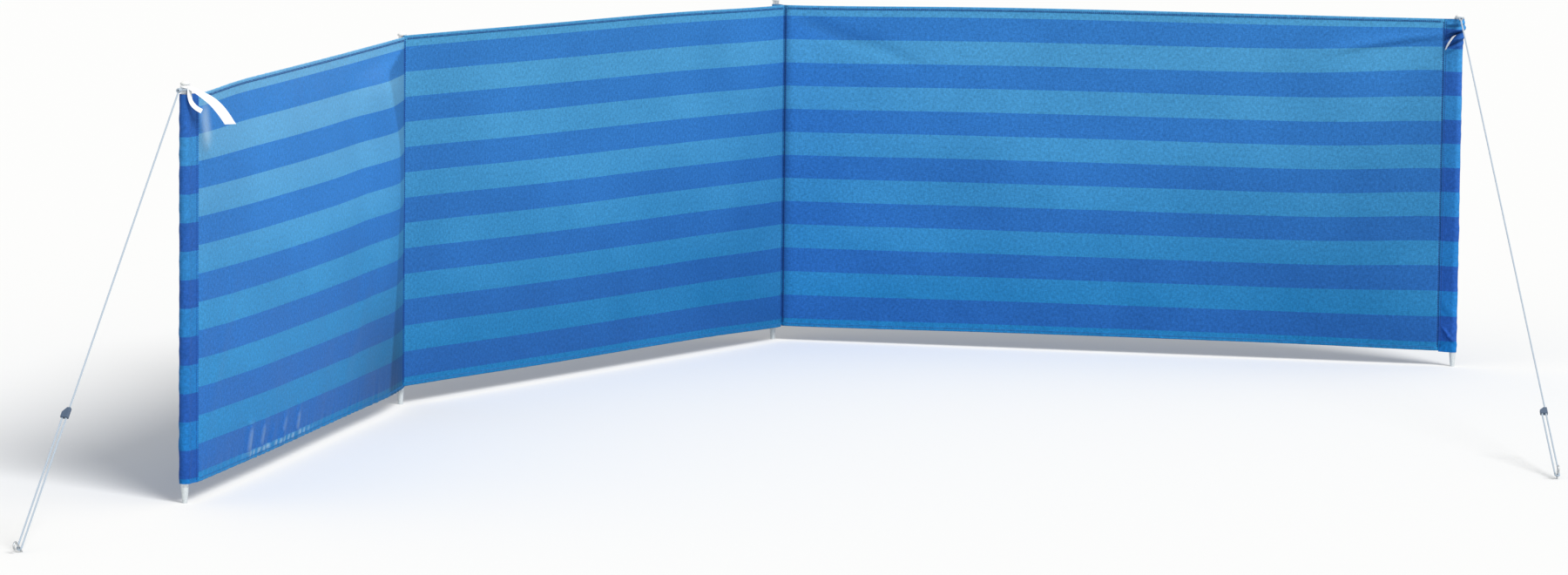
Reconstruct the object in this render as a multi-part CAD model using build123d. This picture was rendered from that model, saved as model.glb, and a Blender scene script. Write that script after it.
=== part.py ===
"""Beach windbreak: a striped cloth in three bays on four poles, with a guy line at each end.

Millimetres, +Z up. The origin is the foot of the corner pole at ground level, +X runs along the
right bay, and the sheltered side faces -Y. Everything is modelled from ground level up.
"""

import os
from math import acos, asin, atan2, cos, hypot, radians, sin, tan

from build123d import *

# Cloth, laid flat: its length runs from the outer fold of one end sleeve to the other
CLOTH_LENGTH = 5000.0
CLOTH_HEIGHT = 800.0
CLOTH_THICKNESS = 1.0
GROUND_GAP = 40.0
HEM_WIDTH = 10.0
HEM_THICKNESS = 2.4
HEM_ROUND = 0.9
BAY_COUNT = 3

# Sleeves: a flat tunnel for each pole, sewn along its seam
SLEEVE_WIDTH = 44.0
SEAM_ALLOWANCE = 6.0
SLEEVE_EASE = 0.3

# How the bays stand on the ground, as headings in degrees
CORNER_BEND_ANGLE = 72.5
SHALLOW_BEND_ANGLE = 20.1
LEFT_SLEEVE_TURN_ANGLE = 33.0
INNER_SLEEVE_TURN_ANGLE = 55.0
CORNER_SLEEVE_TURN_ANGLE = 18.0

# Poles
POLE_DIAMETER = 16.0
POLE_WALL = 1.0
LEFT_NECK = 12.5
INNER_NECK = 0.5
RIGHT_NECK = 4.6
PLUG_FIT = 0.1

# Ground spikes, cut off at ground level
SPIKE_TIP_DIAMETER = 10.5
SPIKE_TAPER_HEIGHT = 32.0
SPIKE_PLUG_LENGTH = 30.0
PLUG_CHAMFER = 1.5

# Pole caps
CAP_DIAMETER = 20.0
CAP_RIM = 3.0
CAP_HEIGHT = 7.5
CAP_PLUG_LENGTH = 15.0

# Guy lines
ROPE_DIAMETER = 4.0
ROPE_EASE = 0.3
EYE_REACH = 30.0
EYE_KNOT_DIAMETER = 10.0
LEFT_GUY_REACH = 756.0
LEFT_GUY_HEADING_ANGLE = 264.7
RIGHT_GUY_REACH = 2034.0
RIGHT_GUY_HEADING_ANGLE = 284.9
LOOP_HEIGHT = 9.0
LEFT_RUNNER_DISTANCE = 304.0
RIGHT_RUNNER_DISTANCE = 260.0
RUNNER_LENGTH = 24.0
RUNNER_SHOULDER = 13.0
RUNNER_POCKET = 11.0
RUNNER_WALL = 1.5
RUNNER_ROUND = 1.2

# Ground pegs, cut off at ground level
PEG_DIAMETER = 4.0
PEG_NECK = 18.0
PEG_HOOK_RADIUS = 7.0
PEG_HOOK_END = 4.0
PEG_IN_GROUND = 60.0

# Tie tapes: one tied round the left pole's neck, and one sewn to the right sleeve
TIE_BAND_HEIGHT = 6.0
TIE_THICKNESS = 1.0
TIE_EASE = 0.3
TIE_FACING_ANGLE = 284.0
KNOT_WIDTH = 18.0
KNOT_DEPTH = 7.0
KNOT_ROUND = 1.5
TAPE_WIDTH = 18.0
LONG_TAIL_RADIUS = 200.0
LONG_TAIL_START_ANGLE = 65.0
LONG_TAIL_SWEEP_ANGLE = 32.0
SHORT_TAIL_WIDTH = 8.0
SHORT_TAIL_RADIUS = 46.0
SHORT_TAIL_SWEEP_ANGLE = 62.0
SHORT_TAIL_SHIFT = 12.5
SEWN_TAIL_DROP = 33.0
SEWN_TAIL_LENGTH = 48.0
SEWN_TAIL_WIDTH = 10.0
SEWN_TAIL_SHIFT = 4.0
SEWN_TAIL_LEAN_ANGLE = 25.0

# Sizes that follow from the ones above
POLE_RADIUS = POLE_DIAMETER / 2
BORE_RADIUS = POLE_RADIUS - POLE_WALL
PLUG_RADIUS = BORE_RADIUS - PLUG_FIT
ROPE_RADIUS = ROPE_DIAMETER / 2
PEG_RADIUS = PEG_DIAMETER / 2
SLEEVE_INNER_RADIUS = POLE_RADIUS + SLEEVE_EASE
SLEEVE_OUTER_RADIUS = SLEEVE_INNER_RADIUS + CLOTH_THICKNESS
POLE_REACH = SLEEVE_WIDTH - SLEEVE_OUTER_RADIUS
BAY_LENGTH = (CLOTH_LENGTH - 2 * SLEEVE_WIDTH) / BAY_COUNT
CLOTH_TOP = GROUND_GAP + CLOTH_HEIGHT
LOOP_RADIUS = PEG_RADIUS + ROPE_RADIUS + ROPE_EASE
EYE_RADIUS = POLE_RADIUS + ROPE_RADIUS + ROPE_EASE
EYE_LEVEL = CLOTH_TOP + ROPE_RADIUS + ROPE_EASE
TIE_BAND_BASE = EYE_LEVEL + ROPE_RADIUS + TIE_EASE
TIE_BAND_MIDDLE = TIE_BAND_BASE + TIE_BAND_HEIGHT / 2
KNOT_FACE = POLE_RADIUS + TIE_EASE + KNOT_DEPTH
MIDWAY_SHARE = 0.5
FULL_TURN_ANGLE = 360.0
HALF_TURN_ANGLE = 180.0
QUARTER_TURN_ANGLE = 90.0


def heading(angle):
    """Unit vector on the ground for a heading in degrees, counted from +X towards +Y."""
    return Vector(cos(radians(angle)), sin(radians(angle)), 0)


def raised(point, level):
    """The same place on plan, at another level."""
    return Vector(point.X, point.Y, level)


def outward(first, second):
    """Heading that points out of the shelter, midway between two bays' headings."""
    return (first + second) / 2 + QUARTER_TURN_ANGLE


# Plan of the windbreak: headings of bays and sleeves, then seams and poles
RIGHT_BAY_ANGLE = 0.0
MIDDLE_BAY_ANGLE = RIGHT_BAY_ANGLE + CORNER_BEND_ANGLE
LEFT_BAY_ANGLE = MIDDLE_BAY_ANGLE + SHALLOW_BEND_ANGLE
SLEEVE_ANGLES = {
    "left_end": LEFT_BAY_ANGLE + HALF_TURN_ANGLE - LEFT_SLEEVE_TURN_ANGLE,
    "left_inner": outward(LEFT_BAY_ANGLE, MIDDLE_BAY_ANGLE) - INNER_SLEEVE_TURN_ANGLE,
    "corner": outward(MIDDLE_BAY_ANGLE, RIGHT_BAY_ANGLE) + CORNER_SLEEVE_TURN_ANGLE,
    "right_end": RIGHT_BAY_ANGLE,
}
CORNER_SEAM = heading(SLEEVE_ANGLES["corner"]) * -POLE_REACH
LEFT_INNER_SEAM = CORNER_SEAM - heading(MIDDLE_BAY_ANGLE) * BAY_LENGTH
SEAMS = {
    "left_end": LEFT_INNER_SEAM - heading(LEFT_BAY_ANGLE) * BAY_LENGTH,
    "left_inner": LEFT_INNER_SEAM,
    "corner": CORNER_SEAM,
    "right_end": CORNER_SEAM + heading(RIGHT_BAY_ANGLE) * BAY_LENGTH,
}
POLES = {name: SEAMS[name] + heading(SLEEVE_ANGLES[name]) * POLE_REACH for name in SEAMS}
NECKS = {"left_end": LEFT_NECK, "left_inner": INNER_NECK, "corner": INNER_NECK, "right_end": RIGHT_NECK}
BAYS = {
    "left": ("left_end", "left_inner", LEFT_BAY_ANGLE),
    "middle": ("left_inner", "corner", MIDDLE_BAY_ANGLE),
    "right": ("corner", "right_end", RIGHT_BAY_ANGLE),
}


def headings_at(seam):
    """Headings of all the cloth that leaves a seam: its bays and its sleeve."""
    found = [SLEEVE_ANGLES[seam]]
    for start, end, bay in BAYS.values():
        if start == seam:
            found.append(bay)
        if end == seam:
            found.append(bay + HALF_TURN_ANGLE)
    return found


def mitred_end(seam, own, half_thickness):
    """Corner points of a cloth wall where it leaves a seam, left side first.

    Each wall stops at the planes midway to its neighbours, so that walls meet face to face.
    """
    others = [h for h in headings_at(seam) if (h - own) % FULL_TURN_ANGLE > 1e-6]
    left_half = min((h - own) % FULL_TURN_ANGLE for h in others) / 2
    right_half = min((own - h) % FULL_TURN_ANGLE for h in others) / 2
    along, left = heading(own), heading(own + QUARTER_TURN_ANGLE)
    origin = SEAMS[seam]
    left_corner = origin + along * (half_thickness / tan(radians(left_half))) + left * half_thickness
    right_corner = origin + along * (half_thickness / tan(radians(right_half))) - left * half_thickness
    if len(others) > 1:
        return [left_corner, origin, right_corner]
    return [left_corner, right_corner]


def bay_wall(bay, thickness, base, height):
    """A straight wall of cloth from seam to seam of one bay."""
    start, end, along = BAYS[bay]
    half = thickness / 2
    outline = mitred_end(start, along, half) + mitred_end(end, along + HALF_TURN_ANGLE, half)
    plan = make_face(Polyline(*outline, close=True))
    return Pos(0, 0, base) * extrude(plan, amount=height, dir=(0, 0, 1))


def cloth_panel(bay):
    """The flat striped cloth of a bay, between its two hems."""
    return bay_wall(bay, CLOTH_THICKNESS, GROUND_GAP + HEM_WIDTH, CLOTH_HEIGHT - 2 * HEM_WIDTH)


def hem(bay, base, fold_is_up):
    """A folded hem along one edge of a bay, rounded at its fold."""
    strip = bay_wall(bay, HEM_THICKNESS, base, HEM_WIDTH)
    fold = strip.faces().sort_by(Axis.Z)[-1 if fold_is_up else 0]
    long_edges = fold.edges().sort_by(SortBy.LENGTH)[-2:]
    return fillet(long_edges, HEM_ROUND)


def sleeve(name):
    """A pole's sleeve: two plies sewn together at the seam, opening to a round tunnel."""
    own = SLEEVE_ANGLES[name]
    along, left, seam = heading(own), heading(own + QUARTER_TURN_ANGLE), SEAMS[name]
    opening = asin(SLEEVE_INNER_RADIUS / (POLE_REACH - SEAM_ALLOWANCE))
    tail_end = SEAM_ALLOWANCE - CLOTH_THICKNESS * tan(opening / 2)

    def place(distance, offset):
        return seam + along * distance + left * offset

    def tangent_point(radius, side):
        return place(POLE_REACH - radius * sin(opening), side * radius * cos(opening))

    outside = Polyline(
        tangent_point(SLEEVE_OUTER_RADIUS, 1),
        place(tail_end, CLOTH_THICKNESS),
        *mitred_end(name, own, CLOTH_THICKNESS),
        place(tail_end, -CLOTH_THICKNESS),
        tangent_point(SLEEVE_OUTER_RADIUS, -1),
    )
    inside = Polyline(
        tangent_point(SLEEVE_INNER_RADIUS, 1),
        place(SEAM_ALLOWANCE, 0),
        tangent_point(SLEEVE_INNER_RADIUS, -1),
    )
    faces = []
    for path, radius in ((outside, SLEEVE_OUTER_RADIUS), (inside, SLEEVE_INNER_RADIUS)):
        round_end = ThreePointArc(path @ 1, place(POLE_REACH + radius, 0), path @ 0)
        faces.append(make_face([*path.edges(), round_end]))
    tunnel = extrude(faces[0], amount=CLOTH_HEIGHT, dir=(0, 0, 1))
    tunnel -= extrude(faces[1], amount=CLOTH_HEIGHT, dir=(0, 0, 1))
    return Pos(0, 0, GROUND_GAP) * tunnel


def pole_top(name):
    """Level of a pole tube's upper end."""
    return CLOTH_TOP + NECKS[name]


def pole(name):
    """A steel tube from the ground spike's shoulder to just above the cloth."""
    length = pole_top(name) - SPIKE_TAPER_HEIGHT
    ring = Circle(POLE_RADIUS) - Circle(BORE_RADIUS)
    return Pos(raised(POLES[name], SPIKE_TAPER_HEIGHT)) * extrude(ring, amount=length)


def ground_spike(name):
    """The tapered foot below a pole, with a plug up into the tube."""
    plug_top = SPIKE_TAPER_HEIGHT + SPIKE_PLUG_LENGTH
    profile = Polyline(
        (0, 0, 0),
        (SPIKE_TIP_DIAMETER / 2, 0, 0),
        (POLE_RADIUS, 0, SPIKE_TAPER_HEIGHT),
        (PLUG_RADIUS, 0, SPIKE_TAPER_HEIGHT),
        (PLUG_RADIUS, 0, plug_top - PLUG_CHAMFER),
        (PLUG_RADIUS - PLUG_CHAMFER, 0, plug_top),
        (0, 0, plug_top),
        close=True,
    )
    return Pos(POLES[name]) * revolve(make_face(profile), Axis.Z)


def pole_cap(name):
    """A domed plastic cap with a plug down into the tube."""
    rim = CAP_DIAMETER / 2
    rise = CAP_HEIGHT - CAP_RIM
    dome_radius = (rim**2 + rise**2) / (2 * rise)
    half_angle = asin(rim / dome_radius) / 2
    dome_middle = (dome_radius * sin(half_angle), 0, CAP_HEIGHT - dome_radius * (1 - cos(half_angle)))
    straight = Polyline(
        (0, 0, CAP_HEIGHT),
        (0, 0, -CAP_PLUG_LENGTH),
        (PLUG_RADIUS - PLUG_CHAMFER, 0, -CAP_PLUG_LENGTH),
        (PLUG_RADIUS, 0, PLUG_CHAMFER - CAP_PLUG_LENGTH),
        (PLUG_RADIUS, 0, 0),
        (rim, 0, 0),
        (rim, 0, CAP_RIM),
    )
    dome = ThreePointArc((rim, 0, CAP_RIM), dome_middle, (0, 0, CAP_HEIGHT))
    profile = make_face([*straight.edges(), dome])
    return Pos(raised(POLES[name], pole_top(name))) * revolve(profile, Axis.Z)


class GuyLine:
    """One end's guy line: where its rope, runner and peg lie."""

    def __init__(self, pole_name, reach, bearing, runner_distance):
        foot = POLES[pole_name]
        self.away = heading(bearing)
        self.side = heading(bearing + QUARTER_TURN_ANGLE)
        self.pole = raised(foot, EYE_LEVEL)
        self.knot = self.pole + self.away * EYE_REACH
        self.turn_start = raised(foot, LOOP_HEIGHT) + self.away * reach
        self.down = (self.turn_start - self.knot).normalized()
        self.peg_up = self.side.cross(self.down)
        if self.peg_up.Z < 0:
            self.peg_up = self.peg_up * -1
        self.peg = self.turn_start - self.side * LOOP_RADIUS
        self.turn_end = self.peg - self.side * LOOP_RADIUS
        self.runner_foot = self.peg - self.down * runner_distance

    def rope(self):
        """Eye round the pole, straight stay, turn round the peg, and back up into the runner."""
        back_length = (self.runner_foot - self.peg).length + RUNNER_POCKET - ROPE_EASE
        stay = Line(self.knot, self.turn_start)
        turn = ThreePointArc(self.turn_start, self.peg + self.down * LOOP_RADIUS, self.turn_end)
        back = Line(self.turn_end, self.turn_end - self.down * back_length)
        path = Wire([stay.edge(), turn.edge(), back.edge()])
        line = sweep(Plane(self.knot, z_dir=self.down) * Circle(ROPE_RADIUS), path=path)
        return line + Pos(self.knot) * Sphere(EYE_KNOT_DIAMETER / 2) + self.eye()

    def eye(self):
        """The loop of rope round the pole's neck, its two strands side by side at the knot."""
        strand = ROPE_RADIUS + ROPE_EASE
        spread = atan2(strand, EYE_REACH) + acos(EYE_RADIUS / hypot(EYE_REACH, strand))
        near = self.pole + self.away * (EYE_RADIUS * cos(spread))
        across = self.side * (EYE_RADIUS * sin(spread))
        back = self.pole - self.away * EYE_RADIUS
        start = self.knot + self.side * strand
        first = Line(start, near + across)
        bend = ThreePointArc(near + across, back, near - across)
        last = Line(near - across, self.knot - self.side * strand)
        path = Wire([first.edge(), bend.edge(), last.edge()])
        section = Plane(start, z_dir=(near + across - start).normalized()) * Circle(ROPE_RADIUS)
        return sweep(section, path=path)

    def runner(self):
        """The wedge-shaped runner: the stay runs through it and the rope's end sits in its pocket."""
        hole = ROPE_RADIUS + ROPE_EASE
        half_depth = hole + RUNNER_WALL
        half_width = LOOP_RADIUS + half_depth
        outline = Polyline(
            (-half_width, 0),
            (half_width, 0),
            (half_width, RUNNER_LENGTH),
            (LOOP_RADIUS - half_depth, RUNNER_LENGTH),
            (-half_width, RUNNER_SHOULDER),
            close=True,
        )
        body = extrude(make_face(outline), amount=half_depth, both=True)
        body = fillet(body.edges(), RUNNER_ROUND)
        for offset, depth in ((LOOP_RADIUS, RUNNER_LENGTH), (-LOOP_RADIUS, RUNNER_POCKET)):
            body -= Pos(offset, depth / 2, 0) * Rot(QUARTER_TURN_ANGLE, 0, 0) * Cylinder(hole, depth)
        plane = Plane(self.runner_foot, x_dir=self.side, z_dir=self.side.cross(self.down * -1))
        return plane * body

    def ground_peg(self):
        """A wire peg with its hook turned away from the windbreak."""
        shaft_top = self.peg + self.peg_up * PEG_NECK
        hook_side = self.down * (2 * PEG_HOOK_RADIUS)
        hook_top = shaft_top + self.down * PEG_HOOK_RADIUS + self.peg_up * PEG_HOOK_RADIUS
        tip = shaft_top + hook_side - self.peg_up * PEG_HOOK_END
        buried = self.peg - self.peg_up * PEG_IN_GROUND
        shaft = Line(buried, shaft_top)
        hook = ThreePointArc(shaft_top, hook_top, shaft_top + hook_side)
        end = Line(shaft_top + hook_side, tip)
        path = Wire([shaft.edge(), hook.edge(), end.edge()])
        wire = sweep(Plane(buried, z_dir=self.peg_up) * Circle(PEG_RADIUS), path=path)
        ground = Pos(raised(self.peg, -PEG_IN_GROUND)) * Box(
            4 * PEG_IN_GROUND, 4 * PEG_IN_GROUND, 2 * PEG_IN_GROUND
        )
        return wire - ground


def tie_plane(standoff):
    """Upright plane in front of the left pole's tie, facing the shelter, x to the right and y up."""
    facing = heading(TIE_FACING_ANGLE)
    place = raised(POLES["left_end"], TIE_BAND_MIDDLE) + facing * standoff
    return Plane(place, x_dir=heading(TIE_FACING_ANGLE + QUARTER_TURN_ANGLE), z_dir=facing)


def tie_knot():
    """The tape wound round the left pole's neck, with its knot on the sheltered side."""
    inner_radius = POLE_RADIUS + TIE_EASE
    ring = Circle(inner_radius + TIE_THICKNESS) - Circle(inner_radius)
    band = Pos(raised(POLES["left_end"], TIE_BAND_BASE)) * extrude(ring, amount=TIE_BAND_HEIGHT)
    block = Box(KNOT_WIDTH, TIE_BAND_HEIGHT, KNOT_DEPTH)
    block = fillet(block.edges(), KNOT_ROUND)
    block = tie_plane(KNOT_FACE - KNOT_DEPTH / 2) * block
    hollow = Pos(raised(POLES["left_end"], TIE_BAND_MIDDLE)) * Cylinder(inner_radius, 2 * TIE_BAND_HEIGHT)
    return band + block - hollow


def ribbon_arc(radius, width, start, sweep_angle):
    """A flat curved ribbon on its plane, from a start angle, turning clockwise if negative."""
    edges = []
    ends = []
    for edge_radius in (radius - width / 2, radius + width / 2):
        turn = [radians(start + sweep_angle * share) for share in (0, MIDWAY_SHARE, 1)]
        points = [(edge_radius * cos(a), edge_radius * sin(a)) for a in turn]
        edges.append(ThreePointArc(*points))
        ends.append((points[0], points[-1]))
    edges += [Line(ends[0][0], ends[1][0]), Line(ends[0][1], ends[1][1])]
    return extrude(make_face(edges), amount=TIE_THICKNESS)


def long_tail():
    """The tape's long free end: out beside the knot, bending down."""
    ribbon = ribbon_arc(LONG_TAIL_RADIUS, TAPE_WIDTH, LONG_TAIL_START_ANGLE, -LONG_TAIL_SWEEP_ANGLE)
    start = radians(LONG_TAIL_START_ANGLE)
    clear = KNOT_WIDTH / 2 + TIE_EASE + (TIE_BAND_HEIGHT / 2 - KNOT_ROUND) / tan(start)
    centre = Pos(clear - LONG_TAIL_RADIUS * cos(start), -LONG_TAIL_RADIUS * sin(start), -TIE_THICKNESS)
    return tie_plane(KNOT_FACE) * (centre * ribbon)


def short_tail():
    """The tape's short free end: down from the knot, then curling to the right."""
    ribbon = ribbon_arc(SHORT_TAIL_RADIUS, SHORT_TAIL_WIDTH, HALF_TURN_ANGLE, SHORT_TAIL_SWEEP_ANGLE)
    drop = -TIE_BAND_HEIGHT / 2 - TIE_EASE
    centre = Pos(SHORT_TAIL_RADIUS + SHORT_TAIL_SHIFT, drop, -TIE_THICKNESS)
    return tie_plane(KNOT_FACE - KNOT_DEPTH / 2) * (centre * ribbon)


def sewn_tail():
    """A tape sewn to the front of the right sleeve, hanging down towards the bay."""
    facing = heading(RIGHT_BAY_ANGLE - QUARTER_TURN_ANGLE)
    top = raised(POLES["right_end"], CLOTH_TOP - SEWN_TAIL_DROP)
    place = top + facing * (SLEEVE_OUTER_RADIUS + TIE_EASE)
    plane = Plane(place, x_dir=heading(RIGHT_BAY_ANGLE), z_dir=facing)
    strip = Pos(0, -SEWN_TAIL_LENGTH / 2, 0) * Rectangle(SEWN_TAIL_WIDTH, SEWN_TAIL_LENGTH)
    strip = Pos(SEWN_TAIL_SHIFT, 0, 0) * Rot(0, 0, -SEWN_TAIL_LEAN_ANGLE) * strip
    return plane * extrude(strip, amount=TIE_THICKNESS)


def all_parts():
    """Every sub-part by its node name."""
    parts = {}
    for name in POLES:
        parts[f"pole_{name}"] = pole(name)
        parts[f"ground_spike_{name}"] = ground_spike(name)
        parts[f"pole_cap_{name}"] = pole_cap(name)
        parts[f"sleeve_{name}"] = sleeve(name)
    for bay in BAYS:
        parts[f"cloth_{bay}_bay"] = cloth_panel(bay)
        parts[f"top_hem_{bay}_bay"] = hem(bay, CLOTH_TOP - HEM_WIDTH, True)
        parts[f"bottom_hem_{bay}_bay"] = hem(bay, GROUND_GAP, False)
    guys = {
        "left": GuyLine("left_end", LEFT_GUY_REACH, LEFT_GUY_HEADING_ANGLE, LEFT_RUNNER_DISTANCE),
        "right": GuyLine("right_end", RIGHT_GUY_REACH, RIGHT_GUY_HEADING_ANGLE, RIGHT_RUNNER_DISTANCE),
    }
    for side, guy in guys.items():
        parts[f"guy_rope_{side}"] = guy.rope()
        parts[f"guy_runner_{side}"] = guy.runner()
        parts[f"ground_peg_{side}"] = guy.ground_peg()
    parts["tie_knot_left"] = tie_knot()
    parts["tie_tail_left_long"] = long_tail()
    parts["tie_tail_left_short"] = short_tail()
    parts["tie_tail_right"] = sewn_tail()
    return parts


os.makedirs("parts", exist_ok=True)
for node, shape in all_parts().items():
    export_step(shape, f"parts/{node}.step")
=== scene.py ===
"""Beach windbreak in three bays: striped cloth on four poles, with guy ropes, pegs and tie tapes.

Everything is in metres, in the frame's own axes: +Z up, +X along the right bay, and the
sheltered side, which the camera sees, faces -Y.
"""

from __future__ import annotations

import logging
import math
from collections.abc import Callable, Sequence
from dataclasses import dataclass
from enum import Enum
from functools import partial

import bpy
import numpy as np
from mathutils import Euler, Matrix, Vector


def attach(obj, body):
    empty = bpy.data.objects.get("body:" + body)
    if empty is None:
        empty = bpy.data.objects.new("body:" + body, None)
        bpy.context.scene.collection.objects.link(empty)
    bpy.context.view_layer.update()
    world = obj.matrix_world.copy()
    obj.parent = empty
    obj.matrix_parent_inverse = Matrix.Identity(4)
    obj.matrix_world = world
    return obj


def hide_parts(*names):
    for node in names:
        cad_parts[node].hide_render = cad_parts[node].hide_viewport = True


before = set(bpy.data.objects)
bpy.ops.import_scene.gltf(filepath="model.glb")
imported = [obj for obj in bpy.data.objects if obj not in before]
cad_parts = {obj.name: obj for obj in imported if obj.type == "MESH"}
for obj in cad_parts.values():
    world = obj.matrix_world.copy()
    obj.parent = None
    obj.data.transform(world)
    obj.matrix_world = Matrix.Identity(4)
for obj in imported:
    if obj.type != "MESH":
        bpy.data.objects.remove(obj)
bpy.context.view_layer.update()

Array = np.ndarray
Piece = bpy.types.Object
Socket = bpy.types.NodeSocket

LOG = logging.getLogger("windbreak")
BODY = "root"
CLOTH_SHADE = "cloth_shade"
CLOTH_PAINTED_SHEEN = "cloth_painted_sheen"
CLOTH_UV = "cloth"
UPWARD = np.array([0.0, 0.0, 1.0])
FULL_TURN = 2 * math.pi
FRONT_AND_BACK = (1.0, -1.0)
# Length of a handle, as a share of the radius, that makes a curve's quarter turn round
ROUND_HANDLE = 0.5523
# Points of beads and strands that lie closer than this are one
FINE_MERGE = 1e-6


class Post(Enum):
    """The four poles, from left to right as the camera sees them."""

    LEFT_END = "left_end"
    LEFT_INNER = "left_inner"
    CORNER = "corner"
    RIGHT_END = "right_end"


class Bay(Enum):
    """The three stretches of cloth between the poles."""

    LEFT = "left"
    MIDDLE = "middle"
    RIGHT = "right"


class Edge(Enum):
    """The two hemmed edges of a bay."""

    TOP = "top"
    BOTTOM = "bottom"


class Slot(Enum):
    """Material slots of the record that the visible pieces use."""

    CLOTH = "striped_cloth"
    TAPE = "white_tape"
    ROPE = "rope"


def linear(code: str) -> tuple[float, float, float, float]:
    """Turns an sRGB hex colour into linear light.

    Args:
        code: Colour as "#rrggbb".

    Returns:
        Linear red, green, blue and an alpha of one.
    """
    channels = [int(code[i : i + 2], 16) / 255 for i in (1, 3, 5)]
    light = [c / 12.92 if c <= 0.04045 else ((c + 0.055) / 1.055) ** 2.4 for c in channels]
    return (light[0], light[1], light[2], 1.0)


def heading(angle: float) -> Vector:
    """Unit vector on the ground for a heading in degrees, counted from +X towards +Y."""
    return Vector((math.cos(math.radians(angle)), math.sin(math.radians(angle)), 0.0))


def smooth_step(low: float, high: float, value: Array) -> Array:
    """Eases from 0 at low to 1 at high."""
    t = np.clip((value - low) / (high - low), 0.0, 1.0)
    return t * t * (3.0 - 2.0 * t)


def run_lengths(points: Array) -> Array:
    """Distances along a line to each of its points."""
    return np.concatenate([[0.0], np.cumsum(np.linalg.norm(np.diff(points, axis=0), axis=1))])


# ---------------------------------------------------------------- layout


@dataclass(frozen=True)
class Layout:
    """How the windbreak stands on the ground: the sizes that the frame was made with."""

    cloth_length: float = 5.0
    cloth_height: float = 0.8
    ground_gap: float = 0.04
    sleeve_width: float = 0.044
    pole_radius: float = 0.008
    sleeve_outer_radius: float = 0.0093
    corner_bend: float = 72.5
    shallow_bend: float = 20.1
    left_sleeve_turn: float = 33.0
    inner_sleeve_turn: float = 55.0
    corner_sleeve_turn: float = 18.0

    @property
    def bay_length(self) -> float:
        """Seam to seam length of one bay."""
        return (self.cloth_length - 2 * self.sleeve_width) / len(Bay)

    @property
    def pole_reach(self) -> float:
        """Distance from a sleeve's seam to its pole's axis."""
        return self.sleeve_width - self.sleeve_outer_radius

    @property
    def cloth_top(self) -> float:
        """Level of the cloth's upper edge."""
        return self.ground_gap + self.cloth_height

    def bay_heading(self, bay: Bay) -> float:
        """Heading of a bay, from its left seam to its right seam."""
        bends = {Bay.RIGHT: 0.0, Bay.MIDDLE: self.corner_bend, Bay.LEFT: self.corner_bend + self.shallow_bend}
        return bends[bay]

    def sleeve_heading(self, post: Post) -> float:
        """Heading of a sleeve, from its seam to its pole.

        Args:
            post: The sleeve's pole.

        Returns:
            The heading in degrees.
        """
        left, middle, right = (self.bay_heading(bay) for bay in Bay)
        return {
            Post.LEFT_END: left + 180.0 - self.left_sleeve_turn,
            Post.LEFT_INNER: (left + middle) / 2 + 90.0 - self.inner_sleeve_turn,
            Post.CORNER: (middle + right) / 2 + 90.0 + self.corner_sleeve_turn,
            Post.RIGHT_END: right,
        }[post]

    def seam(self, post: Post) -> Vector:
        """Place on plan of a sleeve's seam.

        Args:
            post: The sleeve's pole.

        Returns:
            The place, at ground level.
        """
        corner = heading(self.sleeve_heading(Post.CORNER)) * -self.pole_reach
        if post is Post.CORNER:
            return corner
        if post is Post.RIGHT_END:
            return corner + heading(self.bay_heading(Bay.RIGHT)) * self.bay_length
        inner = corner - heading(self.bay_heading(Bay.MIDDLE)) * self.bay_length
        if post is Post.LEFT_INNER:
            return inner
        return inner - heading(self.bay_heading(Bay.LEFT)) * self.bay_length

    def pole(self, post: Post) -> Vector:
        """Place on plan of a pole's axis."""
        return self.seam(post) + heading(self.sleeve_heading(post)) * self.pole_reach

    def bay_posts(self, bay: Bay) -> tuple[Post, Post]:
        """The posts at a bay's left and right seams."""
        index = list(Bay).index(bay)
        return list(Post)[index], list(Post)[index + 1]


LAYOUT = Layout()

# ---------------------------------------------------------------- finishes


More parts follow.
